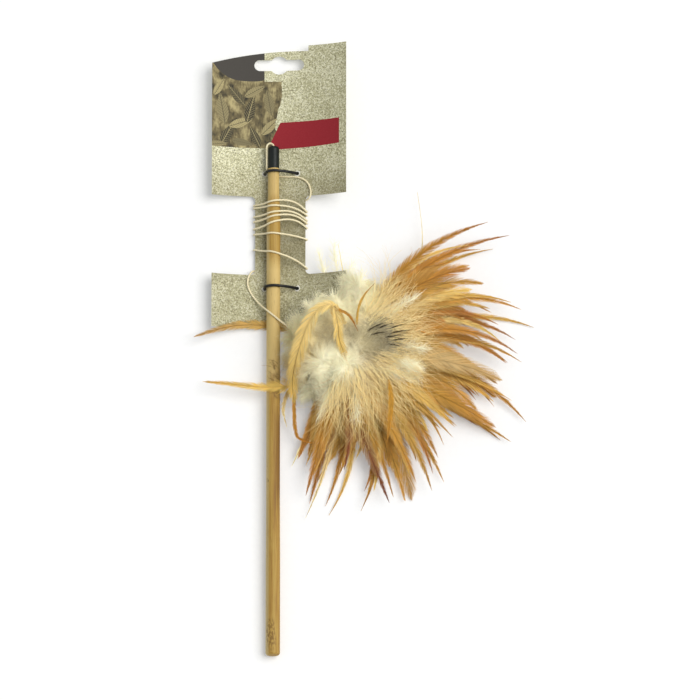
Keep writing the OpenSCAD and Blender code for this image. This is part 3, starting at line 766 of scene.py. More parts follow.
class FEATHERWAND_OT_card(bpy.types.Operator):
    """Recycled board with its printed panel and band"""

    bl_idname = "feather_wand.card"
    bl_label = "Card"

    def execute(self, context):
        dress_node("backing_card", self.board(context.scene.wand_card))
        self.rims()
        return {"FINISHED"}

    def paper(self, f, s, place):
        """The board's speckled colour, and how high its surface stands."""
        pulp = f.noise(place, 850, 5, 0.75)
        cloud = f.noise(place, 70, 3)
        flakes = f.add("TexVoronoi", {"Vector": place, "Scale": 700, "Randomness": 1.0}).outputs[0]
        flecks = f.noise(place, 1500, 3, 0.7)
        fibre_a = f.noise(f.place((2600, 420, 900), (0, 0, 0.6)), 1, 2)
        fibre_b = f.noise(f.place((2400, 380, 900), (0, 0, -1.1)), 1, 2)
        grit = f.math("MULTIPLY_ADD", cloud, 0.25, pulp)
        shade = np.array(s.board_shade)
        colour = f.ramp(grit, [(0.5, shade * 0.8), (0.61, shade), (0.72, s.board)])
        colour = f.mixed(f.spread(flakes, 0.12, 0.3, 0.75, 0), colour, linear(BOARD_FLAKE))
        dark = f.spread(flecks, 0.55, 0.62, 0, 0.9)
        strand_a = f.spread(fibre_a, 0.66, 0.72, 0, 0.55)
        strand_b = f.spread(fibre_b, 0.67, 0.73, 0, 0.5)
        strands = f.math("MAXIMUM", strand_a, strand_b)
        colour = f.mixed(f.math("MAXIMUM", dark, strands), colour, linear(s.fleck))
        return colour, f.math("ADD", pulp, strands)

    def inside(self, f, x, y, corners):
        """1 inside a polygon whose corners run against the clock, given in mm."""
        found = None
        for (ax, ay), (bx, by) in zip(corners, corners[1:] + corners[:1]):
            along = np.array([bx - ax, by - ay])
            along = along / np.linalg.norm(along)
            level = -along[1] * ax + along[0] * ay
            side = f.math("MULTIPLY_ADD", y, float(along[0]), f.math("MULTIPLY", x, float(-along[1])))
            test = f.math("GREATER_THAN", side, float(level))
            found = test if found is None else f.math("MULTIPLY", found, test)
        return found

    def leaf_shape(self):
        """A node group that draws one pointed leaf with its veins."""
        group = bpy.data.node_groups.new("leaf_shape", "ShaderNodeTree")
        inputs = {"Place": "Vector", "Middle": "Vector", "Angle": "Float", "Length": "Float"}
        for name, kind in inputs.items():
            group.interface.new_socket(name, in_out="INPUT", socket_type="NodeSocket" + kind)
        for name in ("Leaf", "Vein"):
            group.interface.new_socket(name, in_out="OUTPUT", socket_type="NodeSocketFloat")
        f = Nodes(group)
        inlet = group.nodes.new("NodeGroupInput")
        outlet = group.nodes.new("NodeGroupOutput")
        near = f.add("VectorMath", {0: inlet.outputs[0], 1: inlet.outputs[1]}, operation="SUBTRACT")
        values = {"Vector": near.outputs[0], "Angle": inlet.outputs[2]}
        turned = f.add("VectorRotate", values, rotation_type="Z_AXIS")
        parts = f.add("SeparateXYZ", {0: turned.outputs[0]})
        u = f.math("DIVIDE", parts.outputs[0], inlet.outputs[3])
        v = f.math("ABSOLUTE", f.math("DIVIDE", parts.outputs[1], inlet.outputs[3]))
        body = f.math("MAXIMUM", f.math("SUBTRACT", 1.0, f.math("MULTIPLY", u, u)), 0.0)
        body = f.math("MULTIPLY", body, f.math("MULTIPLY_ADD", u, -0.13, 0.33))
        leaf = f.math("GREATER_THAN", f.math("SUBTRACT", body, v), 0.0)
        ribs = f.math("FRACT", f.math("MULTIPLY", f.math("SUBTRACT", u, v), 5.5))
        ribs = f.math("LESS_THAN", f.math("ABSOLUTE", f.math("SUBTRACT", ribs, 0.5)), 0.07)
        vein = f.math("MULTIPLY", f.math("MAXIMUM", f.math("LESS_THAN", v, 0.022), ribs), leaf)
        group.links.new(leaf, outlet.inputs[0])
        group.links.new(vein, outlet.inputs[1])
        return group

    def panel(self, f, s, x, y):
        """A print of layered leaves under a plain dark corner."""
        ground = f.noise(f.place((150, 110, 1), (0, 0, 0.5)), 1, 3)
        streak = f.noise(f.place((1500, 200, 1), (0, 0, -0.35)), 1, 3)
        shade = f.math("MULTIPLY_ADD", streak, 0.25, f.math("MULTIPLY", ground, 0.8))
        colour = f.ramp(shade, [(0.38, s.print_dark), (0.52, s.print_mid), (0.68, s.print_pale)])
        group = self.leaf_shape()
        spot = f.add("CombineXYZ", {0: x, 1: y}).outputs[0]
        for across, along, angle, size, pale in LEAVES:
            values = {0: spot, 1: (across, along, 0), 2: math.radians(-angle), 3: size}
            leaf, vein = f.add("Group", values, node_tree=group).outputs
            ink = mix(np.array(s.print_dark), np.array(s.print_pale), pale)
            line = mix(np.array(s.print_pale), np.array(s.print_dark), pale)
            toned = f.mixed(f.spread(streak, 0.35, 0.75, 0, 0.3), linear(ink), linear(s.print_mid))
            colour = f.mixed(leaf, colour, toned)
            colour = f.mixed(f.math("MULTIPLY", vein, 0.85), colour, linear(line))
        bow = f.math("POWER", f.math("ABSOLUTE", f.math("MULTIPLY_ADD", x, 0.04, 0.64)), 3.0)
        corner = f.math("GREATER_THAN", y, f.math("MULTIPLY_ADD", bow, 14.0, CORNER_LOWER))
        return f.mixed(corner, colour, linear(PRINT_CORNER))

    def board(self, s):
        """The card's board with its print, its band, its cut edges and painted shade."""
        f = Finish("recycled_board")
        place = f.place()
        card, height = self.paper(f, s, place)
        x, y = f.place_mm()
        # Painted shade: the board is darker low down, on the waist and towards its right side
        low = f.spread(y, 215.0, 330.0, 0.3, 0.0)
        waist = f.math("MULTIPLY", f.spread(y, 240.0, 262.0), f.spread(y, 322.0, 296.0))
        shade = f.math("MULTIPLY_ADD", f.spread(x, -20.0, 30.0), 0.2, low)
        shade = f.math("MULTIPLY_ADD", waist, 0.32, shade)
        card = f.mixed(shade, card, linear(BOARD_PAINTED_SHADE))
        up = f.add("SeparateXYZ", {0: f.add("NewGeometry").outputs["Normal"]}).outputs[2]
        front = f.math("GREATER_THAN", up, 0.3)
        # The print's right side runs in and out, and its ink is thin where the board is rough
        rag = f.noise(f.place((160, 160, 1)), 1, 2)
        border = f.math("MULTIPLY_ADD", f.math("SINE", f.math("MULTIPLY", y, 0.14)), 2.2, 3.4)
        border = f.math("MULTIPLY_ADD", rag, 3.0, f.math("SUBTRACT", border, 1.5))
        right = f.math("LESS_THAN", x, border)
        panel = f.math("MULTIPLY", right, f.math("GREATER_THAN", y, PRINT_LOWER))
        below = f.math("LESS_THAN", y, CORNER_LOWER)
        beside = f.math("LESS_THAN", x, CORNER_RIGHT)
        panel = f.math("MULTIPLY", panel, f.math("MAXIMUM", below, beside))
        panel = f.math("MULTIPLY", panel, front)
        worn = f.spread(height, 0.9, 1.3, 1.0, 0.92)
        card = f.mixed(f.math("MULTIPLY", panel, worn), card, self.panel(f, s, x, y))
        band = f.math("MULTIPLY", self.inside(f, x, y, BAND_CORNERS), front)
        rub = f.spread(f.noise(place, 1200, 3), 0.4, 0.7, 0, 0.25)
        ink = f.mixed(rub, linear(s.band), linear(BAND_WORN))
        card = f.mixed(f.math("MULTIPLY", band, worn), card, ink)
        cut = f.math("LESS_THAN", f.math("ABSOLUTE", up), 0.3)
        card = f.mixed(f.math("MULTIPLY", cut, 0.7), card, linear(s.cut))
        rough = f.spread(height, 0.6, 1.4, 0.82, 0.95)
        f.surface(Base_Color=card, Roughness=rough, Normal=f.bump(height, 0.3, 0.00015))
        return f.material

    def rims(self):
        """Torn paper round the four holes that the ties pass through."""
        f = Finish("torn_board")
        rag = f.noise(f.place(), 1800, 4)
        colour = f.ramp(rag, [(0.3, TORN_DARK), (0.7, TORN_PALE)])
        f.surface(Base_Color=colour, Roughness=0.9, Normal=f.bump(rag, 0.5, 0.0002))
        rng = np.random.default_rng(5)
        for row, (y, _, _) in TIES.items():
            for side, x in (("left", TIE_LEFT), ("right", TIE_RIGHT)):
                bm = bmesh.new()
                inner = bmesh.ops.create_circle(bm, segments=RIM_POINTS, radius=RIM_INNER)["verts"]
                outer = bmesh.ops.create_circle(bm, segments=RIM_POINTS, radius=RIM_OUTER)["verts"]
                bmesh.ops.bridge_loops(bm, edges=bm.edges)
                for v in inner:
                    v.co *= rng.uniform(0.99, 1.1)
                for v in outer:
                    v.co *= rng.uniform(0.85, 1.25)
                bmesh.ops.solidify(bm, geom=bm.faces, thickness=RIM_THICK)
                for v in bm.verts:
                    at = v.co + Vector((x, y, 0))
                    curl = 0.1 * (RIM_OUTER - min(RIM_OUTER, v.co.xy.length))
                    lift = 0.1 + abs(v.co.z) * 0.6 + curl
                    v.co = Vector((at.x, at.y, float(face_z(at.x)) + lift))
                bmesh.ops.recalc_face_normals(bm, faces=bm.faces)
                bm.transform(Matrix.Scale(MM, 4) @ PLACE)
                mesh = mesh_of(bm, f"{row}_rim_{side}")
                finish_piece(mesh.name, mesh, f.material, "wand_and_card")


# How far the ties' middle lies behind the card, how far their ends run there and the
# size of their bends, then the angles of their points over the stick and their gap
TIE_REAR = 0.68
TIE_LEG = 8
TIE_BEND = 1.2
TIE_ANGLES = [180, 155, 130, 105, 80, 60]
TIE_GAP = 0.15


class FEATHERWAND_OT_ties(bpy.types.Operator):
    """The two black wire ties that hold the stick to the card"""

    bl_idname = "feather_wand.ties"
    bl_label = "Ties"

    def execute(self, context):
        f = Finish("coated_wire")
        ink = context.scene.wand_cord.tie
        wear = f.noise(f.place(), 900, 3)
        colour = f.ramp(wear, [(0.4, ink), (0.75, np.array(ink) * 1.5)])
        rough = f.spread(wear, 0.3, 0.7, 0.3, 0.45)
        bump = f.bump(wear, 0.2, 0.0001)
        f.surface(Base_Color=colour, Specular_IOR_Level=0.3, Roughness=rough, Normal=bump)
        for name, (y, r, bow) in TIES.items():
            mesh = tube_mesh(name + "_wire", smooth(self.route(y, r, bow), 6), WIRE_R, 16)
            finish_piece(name + "_wire", mesh, f.material, "wand_and_card", (name,))
        return {"FINISHED"}

    def route(self, y, r, rise):
        """The wire's way from its end behind the card, over the stick, to its other end."""
        ring = r + TIE_GAP + WIRE_R
        face_left, face_right = float(face_z(TIE_LEFT)), float(face_z(TIE_RIGHT))
        rear_left, rear_right = float(rear_z(TIE_LEFT)), float(rear_z(TIE_RIGHT))
        points = [
            [TIE_LEFT + TIE_LEG, y + TIE_BEND, float(rear_z(TIE_LEFT + TIE_LEG)) - TIE_REAR],
            [TIE_LEFT + TIE_BEND, y + 0.3, rear_left - TIE_REAR],
            [TIE_LEFT + 0.1, y, rear_left - 0.3],
            [TIE_LEFT, y, face_left + TIE_BEND],
        ]
        for angle in TIE_ANGLES:
            a = math.radians(angle)
            over = ring * math.cos(a)
            bow = rise * math.sin(math.pi * (over - TIE_LEFT) / (TIE_RIGHT - TIE_LEFT))
            points.append([over, y + bow, AXIS_Z + ring * math.sin(a)])
        x, _, z = points[-1]
        points += [
            [mix(x, TIE_RIGHT, 0.5), y + rise * 0.5, mix(z, face_right, 0.35)],
            [TIE_RIGHT, y, face_right + 0.6],
            [TIE_RIGHT - 0.1, y, rear_right - 0.3],
            [TIE_RIGHT - TIE_BEND, y - 0.3, rear_right - TIE_REAR],
            [TIE_RIGHT - TIE_LEG, y - TIE_BEND, float(rear_z(TIE_RIGHT - TIE_LEG)) - TIE_REAR],
        ]
        return points


# Points of a wound thread in each lap, and the threads' radii
LAP_POINTS = 18
KNOT_THREAD = 0.28
BALL_THREAD = 0.32


class FEATHERWAND_OT_binding(bpy.types.Operator):
    """The lure's knot and its ball of binding thread"""

    bl_idname = "feather_wand.binding"
    bl_label = "Binding"

    def execute(self, context):
        f = Finish("binding_thread")
        ink = context.scene.wand_cord.thread
        ply = f.noise(f.place(), 2600, 3)
        colour = f.ramp(ply, [(0.3, np.array(ink) * 0.72), (0.65, ink)])
        f.surface(Base_Color=colour, Roughness=0.7, Sheen_Weight=0.3, Normal=f.bump(ply, 0.5, 0.0002))
        back = np.array([-LURE_WAY[1], LURE_WAY[0], 0])
        up = np.array([0, 0, 1.0])

        def wound(middle, way, radii, laps, reach, seed):
            """One long thread laid round an axis, on a barrel of those radii."""
            rng = np.random.default_rng(seed)
            count = laps * LAP_POINTS
            t = np.linspace(0, 1, count)
            angle = t * laps * 2 * math.pi
            slide = np.linspace(-reach, reach, count) + 0.08 * np.cumsum(rng.normal(0, 0.15, count))
            slide = np.clip(slide, -reach, reach)
            radius = np.interp(np.abs(slide) / reach, [0, 0.5, 0.8, 1], radii)
            ring = np.cos(angle)[:, None] * back + np.sin(angle)[:, None] * up
            return middle + slide[:, None] * way + radius[:, None] * ring

        middle = KNOT - (WHIPPING_START + WHIPPING / 2) * LURE_WAY
        whipping = wound(middle, LURE_WAY, [1.45, 1.45, 1.4, 1.25], 11, 2.0, 1)
        collar = wound(KNOT, LURE_WAY, [2.1, 1.9, 1.5, 0.8], 7, 1.9, 2)
        mesh = tube_mesh("knot_thread", np.vstack([whipping, collar]), KNOT_THREAD, 6)
        finish_piece("knot_thread", mesh, f.material, "lure_stem", ("lure_knot",))
        ball = wound(BALL, LURE_WAY, [4.9, 4.4, 3.1, 1.2], 17, 4.9, 3)
        lean = LURE_WAY + 0.25 * up
        cross = wound(BALL, lean / np.linalg.norm(lean), [4.95, 4.5, 3.2, 1.4], 9, 4.6, 4)
        mesh = tube_mesh("ball_thread", np.vstack([ball, cross]), BALL_THREAD, 6)
        finish_piece("ball_thread", mesh, f.material, "lure", ("lure_binding",))
        return {"FINISHED"}


class Quill:
    """A feather's line in the stick's frame, with its directions and half width."""

    def __init__(self, centre, half):
        coarse = run_length(centre)
        self.centre = smooth(centre, 6)
        run = run_length(self.centre)
        self.length = run[-1]
        self.share = run / run[-1]
        self.half = np.interp(self.share, coarse / coarse[-1], half)
        self.ahead = unit(np.gradient(self.centre, axis=0))
        self.side = unit(np.cross([0, 0, 1], self.ahead))
        self.up = np.cross(self.ahead, self.side)

    def read(self, values, share):
        """One of the line's directions or its middle, at shares of its length."""
        return np.stack([np.interp(share, self.share, values[:, k]) for k in range(3)], axis=-1)

    def spot(self, share, off, lift):
        """Points at a share of the length, off to the side and above it."""
        past = np.maximum(share - 1, 0)[..., None] * self.length
        return (
            self.read(self.centre, share)
            + past * self.ahead[-1]
            + off[..., None] * self.read(self.side, share)
            + lift[..., None] * self.read(self.up, share)
        )

    def between(self, other, share, scale, bow):
        """A feather's line between two others, shorter or longer, and bowed sideways."""
        t = np.linspace(0, 1, 14)
        a, b = self.read(self.centre, t), other.read(other.centre, t)
        half = mix(np.interp(t, self.share, self.half), np.interp(t, other.share, other.half), share)
        centre = BALL + (mix(a, b, share) - BALL) * mix(1, scale, ease(0, 0.6, t))[:, None]
        side = self.read(self.side, t)
        return Quill(centre + (bow * np.sin(math.pi * t) * t)[:, None] * side, half)


def node_quill(name):
    """The line and half widths of a CAD feather, read from its rings of four points."""
    bm = bmesh.new()
    bm.from_mesh(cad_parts[name].data)
    bmesh.ops.remove_doubles(bm, verts=bm.verts, dist=1e-6)
    start = Vector(to_frame(BALL))
    ring = sorted(bm.verts, key=lambda v: (v.co - start).length)[:4]
    seen = set(ring)
    centre, half = [], []
    while ring:
        points = from_frame(np.array([v.co for v in ring]))
        centre.append(points.mean(axis=0))
        half.append(max(np.linalg.norm(p - q) for p in points for q in points) / 2)
        linked = {e.other_vert(v) for v in ring for e in v.link_edges} - seen
        seen |= linked
        ring = list(linked)
    bm.free()
    return Quill(np.array(centre), np.array(half))


def over_lower_panel(x, y):
    """Whether places lie over the card's lower panel."""
    return (x > CARD_LEFT) & (x < CARD_RIGHT) & (y > CARD_LOWER) & (y < WAIST_LOWER)


def keep_clear(points, over=True, room=0.0):
    """Moves points out of the stick, the card and the floor, with room for the lure to lift."""
    x, y, z = points[..., 0], points[..., 1], points[..., 2]
    behind = (KNOT[0] - x) * LURE_WAY[0] + (KNOT[1] - y) * LURE_WAY[1]
    waist = (x > WAIST[0]) & (x < WAIST[1]) & (y > WAIST_LOWER) & (y < WAIST_UPPER)
    on_card = over_lower_panel(x, y) | waist
    if over:
        least = face_z(x) + ROOM + room * np.maximum(behind, 0)
        z = np.where(on_card, np.maximum(z, least), z)
    else:
        z = np.where(on_card, np.minimum(z, rear_z(x) - REAR_ROOM), z)
    away = np.hypot(x, z - AXIS_Z)
    inside = (away < SHAFT_R + ROOM) & (y < CAP_START)
    push = np.where(inside, (SHAFT_R + ROOM) / np.maximum(away, 0.05), 1)
    x, z = x * push, AXIS_Z + (z - AXIS_Z) * push
    z = np.maximum(z, floor_z(y) + FLOOR_ROOM)
    return np.stack([x, y, z], axis=-1)


def lies_over(quill):
    """Whether a feather that meets the card lies on its face."""
    x, y, z = quill.centre.T
    on = over_lower_panel(x, y)
    return not on.any() or np.mean(z[on] - face_z(x[on])) > 0


def heading_of(place):
    """Which way a place lies from the ball of thread, in degrees."""
    over = place - BALL
    return math.degrees(math.atan2(over[1], over[0]))


# How a feather looks: width of its vane, share of its length that is downy, reach of
# the down in mm, its colours at the root, the middle and the tip and along the shaft,
# how ragged it is, and how much of its width is left at the tip
Look = namedtuple("Look", "width downy reach base middle tip shaft ragged point", defaults=[0.35])
# Radii of the shafts at their roots, in mm
SHAFT = 0.36
PIN_SHAFT = 0.22
LOOSE_SHAFT = 0.2
STRAND_SHAFT = 0.14


def barb_lines(quill, look, gap, rng):
    """The middle line, edge and tint of every barb on both sides of a feather."""
    steps = 6
    each = int(quill.length / gap)
    root = (np.tile(np.arange(each), 2) + rng.uniform(0.1, 0.9, 2 * each)) / each
    side = np.repeat([-1.0, 1.0], each)
    # Barbs cling together in small tufts that part at the vane's edge
    cuts = np.cumsum(rng.integers(4, 14, 2 * each))
    tuft = np.searchsorted(cuts, np.arange(2 * each))
    count = tuft.max() + 1
    middle_of = np.bincount(tuft, root, count) / np.maximum(np.bincount(tuft, minlength=count), 1)
    lean, rise, stretch, shade = rng.normal(0, 1, (4, count))
    split = (rng.uniform(0, 1, count) < 0.12) * 1.0
    lean, stretch = lean * (1 + split), stretch - split
    downy = ease(look.downy + 0.12, look.downy - 0.08, root)
    loose = rng.normal(0, 1, (4, 2 * each))
    half = np.interp(root, quill.share, quill.half) * look.width
    half = half * mix(1, look.point, ease(0.4, 1, root))
    reach = half * (1 + 0.04 * look.ragged * stretch[tuft] + 0.09 * loose[0])
    near_root = ease(0, 0.12, root) * 0.75 + 0.25
    fluff = look.reach * rng.uniform(0.45, 1.1, 2 * each) * near_root
    reach = np.maximum(mix(reach, fluff, downy), 0.15)
    angle = mix(34.0, 12.0, ease(0.1, 1, root)) + 1.4 * look.ragged * lean[tuft] + 1.5 * loose[1]
    angle = np.radians(np.maximum(mix(angle, rng.uniform(30, 85, 2 * each), downy), 8))
    length = np.minimum(np.minimum(reach / np.sin(angle), 16), (1 - root) * quill.length * 0.7 + 1)
    v = np.linspace(0, 1, steps)[:, None]
    pull = (middle_of[tuft] - root) * 0.22 * look.ragged * v**2 * (1 - downy)
    along = root + length * np.cos(angle) * v**1.1 / quill.length + pull
    roll = downy * rng.uniform(-0.5, 1.4, 2 * each)
    wave = downy * np.sin(v * rng.uniform(4, 9, 2 * each) + rng.uniform(0, 6, 2 * each)) * v * 0.9
    off = side * length * np.sin(angle) * (v - 0.12 * v**2) / 0.88
    cup = 0.22 * reach * v**2 + 0.07 * reach * rise[tuft] * v**2 * look.ragged
    lift = mix(cup, np.abs(off) * np.sin(roll) + 0.3, downy) + wave
    off = off * mix(1, np.cos(roll), downy) + wave * side
    middle = keep_clear(quill.spot(along, off, lift), lies_over(quill))
    ahead = unit(np.gradient(middle, axis=0))
    up = quill.read(quill.up, np.broadcast_to(root, along.shape))
    across = unit(np.cross(ahead, up + downy[:, None] * rng.normal(0, 0.3, (2 * each, 3))))
    wide = quill.length / each * np.sin(angle) * 0.95
    wide = mix(wide, 0.1, downy) * (1 - 0.85 * v**2)
    facing = unit(up + downy[:, None] * np.array([0, 0, 0.8]))
    # Colour follows the place along the feather, paler to the edge
    zone = along + 0.03 * shade[tuft]
    warm = ease(look.downy - 0.08, look.downy + 0.2, zone)[..., None]
    late = ease(look.downy + 0.25, 1.0, zone)[..., None]
    tint = mix(mix(look.base, look.middle, warm), look.tip, late)
    tint = mix(tint, look.base, (0.16 * v**1.5 * (1 - 0.5 * late[..., 0]))[..., None])
    line = (np.exp(-((v / 0.12) ** 2)) * ease(look.downy, look.downy + 0.3, along) * 0.4)[..., None]
    tint = mix(tint, look.shaft, line)
    # Painted shade: the feathers that lie to the lower right, in the shade of the down, are a little
    # darker
    heading = heading_of(quill.centre[len(quill.centre) // 2])
    brown = 1 - 0.06 * math.exp(-(((heading + 48) / 14) ** 2))
    tone_of = rng.uniform(0.82, 1.1) * brown * (1 + 0.07 * shade[tuft] + 0.1 * loose[2])
    tint = np.clip(tint * tone_of[:, None], 0, 1)
    row = (root + np.array([-0.45, 0.45])[:, None, None] / each).transpose(1, 2, 0)
    uv = np.empty((steps, 2 * each, 2, 2))
    uv[..., 0] = (0.5 + 0.48 * side * v)[..., None]
    uv[..., 1] = np.clip(row, 0, 1)
    return (middle, across * wide[..., None], tint, uv), facing


def shaft_mesh(quill, look, name, thick):
    """The feather's shaft, thick and pale at the root and dark at the tip."""
    share = np.linspace(0, 0.985, 26)
    path = keep_clear(quill.read(quill.centre, share), lies_over(quill))
    radius = thick * mix(1, 0.2, share**0.6)
    mesh = tube_mesh(name, path, radius, 6)
    co = np.empty(len(mesh.vertices) * 3, np.float32)
    mesh.vertices.foreach_get("co", co)
    points = from_frame(co.reshape(-1, 3))
    nearest = np.argmin(np.linalg.norm(points[:, None] - path[None], axis=2), axis=1)
    at = share[nearest][:, None]
    tint = mix(mix(look.base, look.middle, ease(0.1, 0.4, at)), look.shaft, ease(0.35, 0.8, at))
    colour_points(mesh, tint)
    mesh.uv_layers.remove(mesh.uv_layers[0])
    uv = np.concatenate([np.full_like(at, 0.5), at], axis=1)
    map_corners(mesh, "OFBake", uv)
    return mesh


def join_meshes(name, parts):
    """One mesh from several, with the way that each of its points faces."""
    bm = bmesh.new()
    for mesh, _ in parts:
        bm.from_mesh(mesh)
        bpy.data.meshes.remove(mesh)
    return mesh_of(bm, name), np.concatenate([facing for _, facing in parts])


def feather_meshes(quill, look, gap, seed, name, thick=SHAFT):
    """A feather's vane and shaft, each with the way that its points face."""
    rng = np.random.default_rng(seed)
    lines, facing = barb_lines(quill, look, gap, rng)
    shaft = shaft_mesh(quill, look, name, thick)
    own = np.zeros((len(shaft.vertices), 3))
    return [(ribbon_mesh(name, *lines), np.repeat(facing, 2, axis=1).reshape(-1, 3)), (shaft, own)]


def plumage_finish(name, glow, gloss):
    """Feather with its tint on each point, fine striations, sheen and light through it."""
    f = Finish(name)
    tint = f.add("Attribute", None, attribute_name="tint").outputs["Color"]
    chart = f.add("UVMap", None, uv_map="OFBake").outputs[0]
    barbules = f.add("Mapping", {"Vector": chart, "Scale": (26, 900, 1)}).outputs[0]
    fine = f.noise(barbules, 1, 2)
    patch = f.noise(f.place(), 160, 3)
    shade = f.math("MULTIPLY_ADD", fine, 0.22, f.math("MULTIPLY_ADD", patch, 0.22, 0.82))
    grey = f.add("CombineXYZ", {0: shade, 1: shade, 2: shade}).outputs[0]
    colour = f.mixed(1.0, tint, grey, "MULTIPLY")
    values = {
        "Base Color": colour,
        "Roughness": f.spread(fine, 0.3, 0.7, gloss, gloss + 0.2),
        "Specular IOR Level": 0.22,
        "Sheen Weight": 0.04,
        "Normal": f.bump(fine, 0.25, 0.0001),
    }
    skin = f.add("BsdfPrincipled", values).outputs[0]
    through = f.add("BsdfTranslucent", {"Color": colour}).outputs[0]
    f.show(f.add("MixShader", {0: glow, 1: skin, 2: through}).outputs[0])
    return f.material


def tones(p):
    """The plumage colours in linear light, by name."""
    names = ("cream", "straw", "golden", "amber", "maroon", "fawn", "rose", "down", "ash")
    return {name: np.array(linear(getattr(p, name))[:3]) for name in names}


def looks(p):
    """Every kind of feather, by name."""
    cream, straw, golden, amber, maroon, fawn, rose, down, ash = tones(p).values()
    brown = amber * 0.45
    buff = mix(straw, golden, 0.5)
    tan = mix(straw, fawn, 0.5)
    deep_straw = mix(straw, golden, 0.7)
    orange = mix(golden, amber, 0.6)
    return {
        "gold": Look(1.15, 0.32, 7.5, cream, golden, orange, brown, 0.6),
        "straw": Look(1.15, 0.34, 8, cream, straw, deep_straw, amber, 0.6),
        "buff": Look(1.15, 0.34, 8, cream, buff, mix(golden, amber, 0.25), brown, 0.6),
        "amber": Look(1.1, 0.3, 7, cream, mix(golden, amber, 0.4), amber, brown, 0.7),
        "russet": Look(1.1, 0.3, 7, cream, orange, mix(amber, maroon, 0.4), brown, 0.7),
        "maroon": Look(1.15, 0.3, 7, cream, mix(fawn, maroon, 0.6), maroon, maroon * 0.6, 0.8),
        "fawn": Look(1.25, 0.3, 8, cream, tan, fawn, fawn * 0.7, 0.5, 0.6),
        "rose": Look(1.2, 0.32, 8, cream, mix(cream, rose, 0.7), rose, fawn * 0.7, 0.5, 0.6),
        "whitish": Look(0.9, 0.3, 7, cream, mix(golden, cream, 0.5), cream, brown, 1.4),
        "pale": Look(1.1, 0.42, 8, cream, mix(cream, straw, 0.6), straw, golden, 0.8),
        "arched": Look(1.15, 0.12, 6, cream, mix(cream, straw, 0.6), straw, brown, 1.2, 0.8),
        "over": Look(1.15, 0.4, 8, straw, straw, deep_straw, amber, 0.6, 0.4),
        "under": Look(1.0, 0.2, 5, straw, tan, fawn * 0.85, brown, 0.9, 0.5),
        "thread": Look(0.8, 0.02, 1.5, down, cream, cream, straw, 2.0),
        "ash": Look(0.42, 0.1, 1.0, ash * 0.7, ash * 0.35, ash * 0.25, ash * 0.2, 1.5),
    }


# The look of each named feather, and its width beside the look's own. A hackle that
# isn't named here is gold
HACKLES = {
    1: ("straw", 0.7), 2: ("straw", 0.8), 3: ("buff", 1), 4: ("straw", 0.6), 5: ("amber", 1),
    6: ("russet", 0.9), 8: ("buff", 1), 9: ("buff", 0.9), 10: ("buff", 0.7), 11: ("whitish", 0.7),
    12: ("whitish", 0.8), 13: ("russet", 1), 15: ("buff", 0.8), 16: ("straw", 0.6), 17: ("buff", 1),
    18: ("maroon", 1.1), 19: ("amber", 1.1), 20: ("amber", 1), 21: ("russet", 0.9),
    22: ("straw", 1), 24: ("maroon", 0.9),
}
SADDLES = {1: ("buff", 1), 2: ("fawn", 1), 3: ("gold", 1), 4: ("amber", 1), 5: ("rose", 1)}
NODE_LOOKS = {
    "feather_strand_1": ("thread", 1),
    "feather_strand_2": ("thread", 1),
    "feather_over_wand": ("over", 1.5),
    "feather_under_wand": ("under", 1.8),
    "arched_feather_1": ("arched", 1),
    "arched_feather_2": ("arched", 1),
    **{f"hackle_feather_{number}": look for number, look in HACKLES.items()},
    **{f"saddle_feather_{number}": look for number, look in SADDLES.items()},
}


def polar(heading, reach, height):
    """A place round the bound ball, at a height above the floor, in mm."""
    a = math.radians(heading)
    x, y = BALL[0] + reach * math.cos(a), BALL[1] + reach * math.sin(a)
    return np.array([x, y, floor_z(y) + height])


def arched_quill(start, arch, tip, half=1.0):
    """A feather's line from the ball's skin over one arch to its tip."""
    t = np.linspace(0, 1, 12)[:, None]
    a, b, c = polar(*start), polar(*arch), polar(*tip)
    line = (1 - t) ** 2 * a + 2 * t * (1 - t) * b + t**2 * c
    return Quill(line, half * np.sin(math.pi * np.linspace(0.08, 0.97, 12)) ** 0.7)


# Feathers with a line of their own: heading, reach and height along each, and the
# half width there
ARCS = {
    "arched_feather_1": (
        [
            (130, 6, 18), (122, 16, 36), (118, 24, 43), (145, 27, 41), (-174, 31, 34),
            (-148, 42, 22), (-133, 51, 10),
        ],
        [0.8, 1.8, 3.3, 4.3, 4.2, 3.2, 0.6],
    ),
    "arched_feather_2": (
        [
            (95, 6, 20), (106, 15, 37), (113, 22, 43.5), (118, 17, 43), (135, 9, 41.5),
            (180, 6, 39), (-97, 13, 34),
        ],
        [0.6, 1.2, 2.0, 2.7, 2.9, 2.4, 0.5],
    ),
    "feather_strand_1": (
        [(58, 6, 6), (40, 45, 7), (44, 62, 7), (54, 80, 7), (60, 94, 6), (67, 113, 6)],
        [0.5, 0.7, 0.8, 0.7, 0.5, 0.2],
    ),
}


# Small feathers that have come loose: heading, reach and height along each, half
# width and look
LOOSE = {
    "pale_loose_feather": ([(-144, 41, 14), (-144, 47, 9), (-137, 57, 7), (-128, 64, 4)], 1.6, "whitish"),
    "curled_loose_feather": (
        [(-139, 45, 14), (-134, 50, 11), (-121, 65, 10), (-114, 67, 12), (-107, 66, 12)], 1.3, "amber"
    ),
    "top_loose_feather": ([(117, 21, 43), (106, 18, 43.5), (86, 14, 41), (41, 8, 37)], 1.0, "amber"),
    "upper_loose_feather": ([(61, 11, 36), (72, 20, 38), (71, 30, 37), (66, 41, 33)], 0.8, "buff"),
    "middle_loose_feather": ([(-45, 36, 33), (-54, 46, 34), (-63, 58, 30), (-70, 71, 26)], 1.7, "gold"),
}
# Feathers that cross their neighbours, and how far they bow, in mm
CROSSING = {"hackle_feather_4": 9, "hackle_feather_10": 11}
# The least bow of the other hackles, what it gains where they point right, and the
# bow of the broad feathers
HACKLE_BOW = 3.0
RIGHT_BOW = 6
SADDLE_BOW = 5
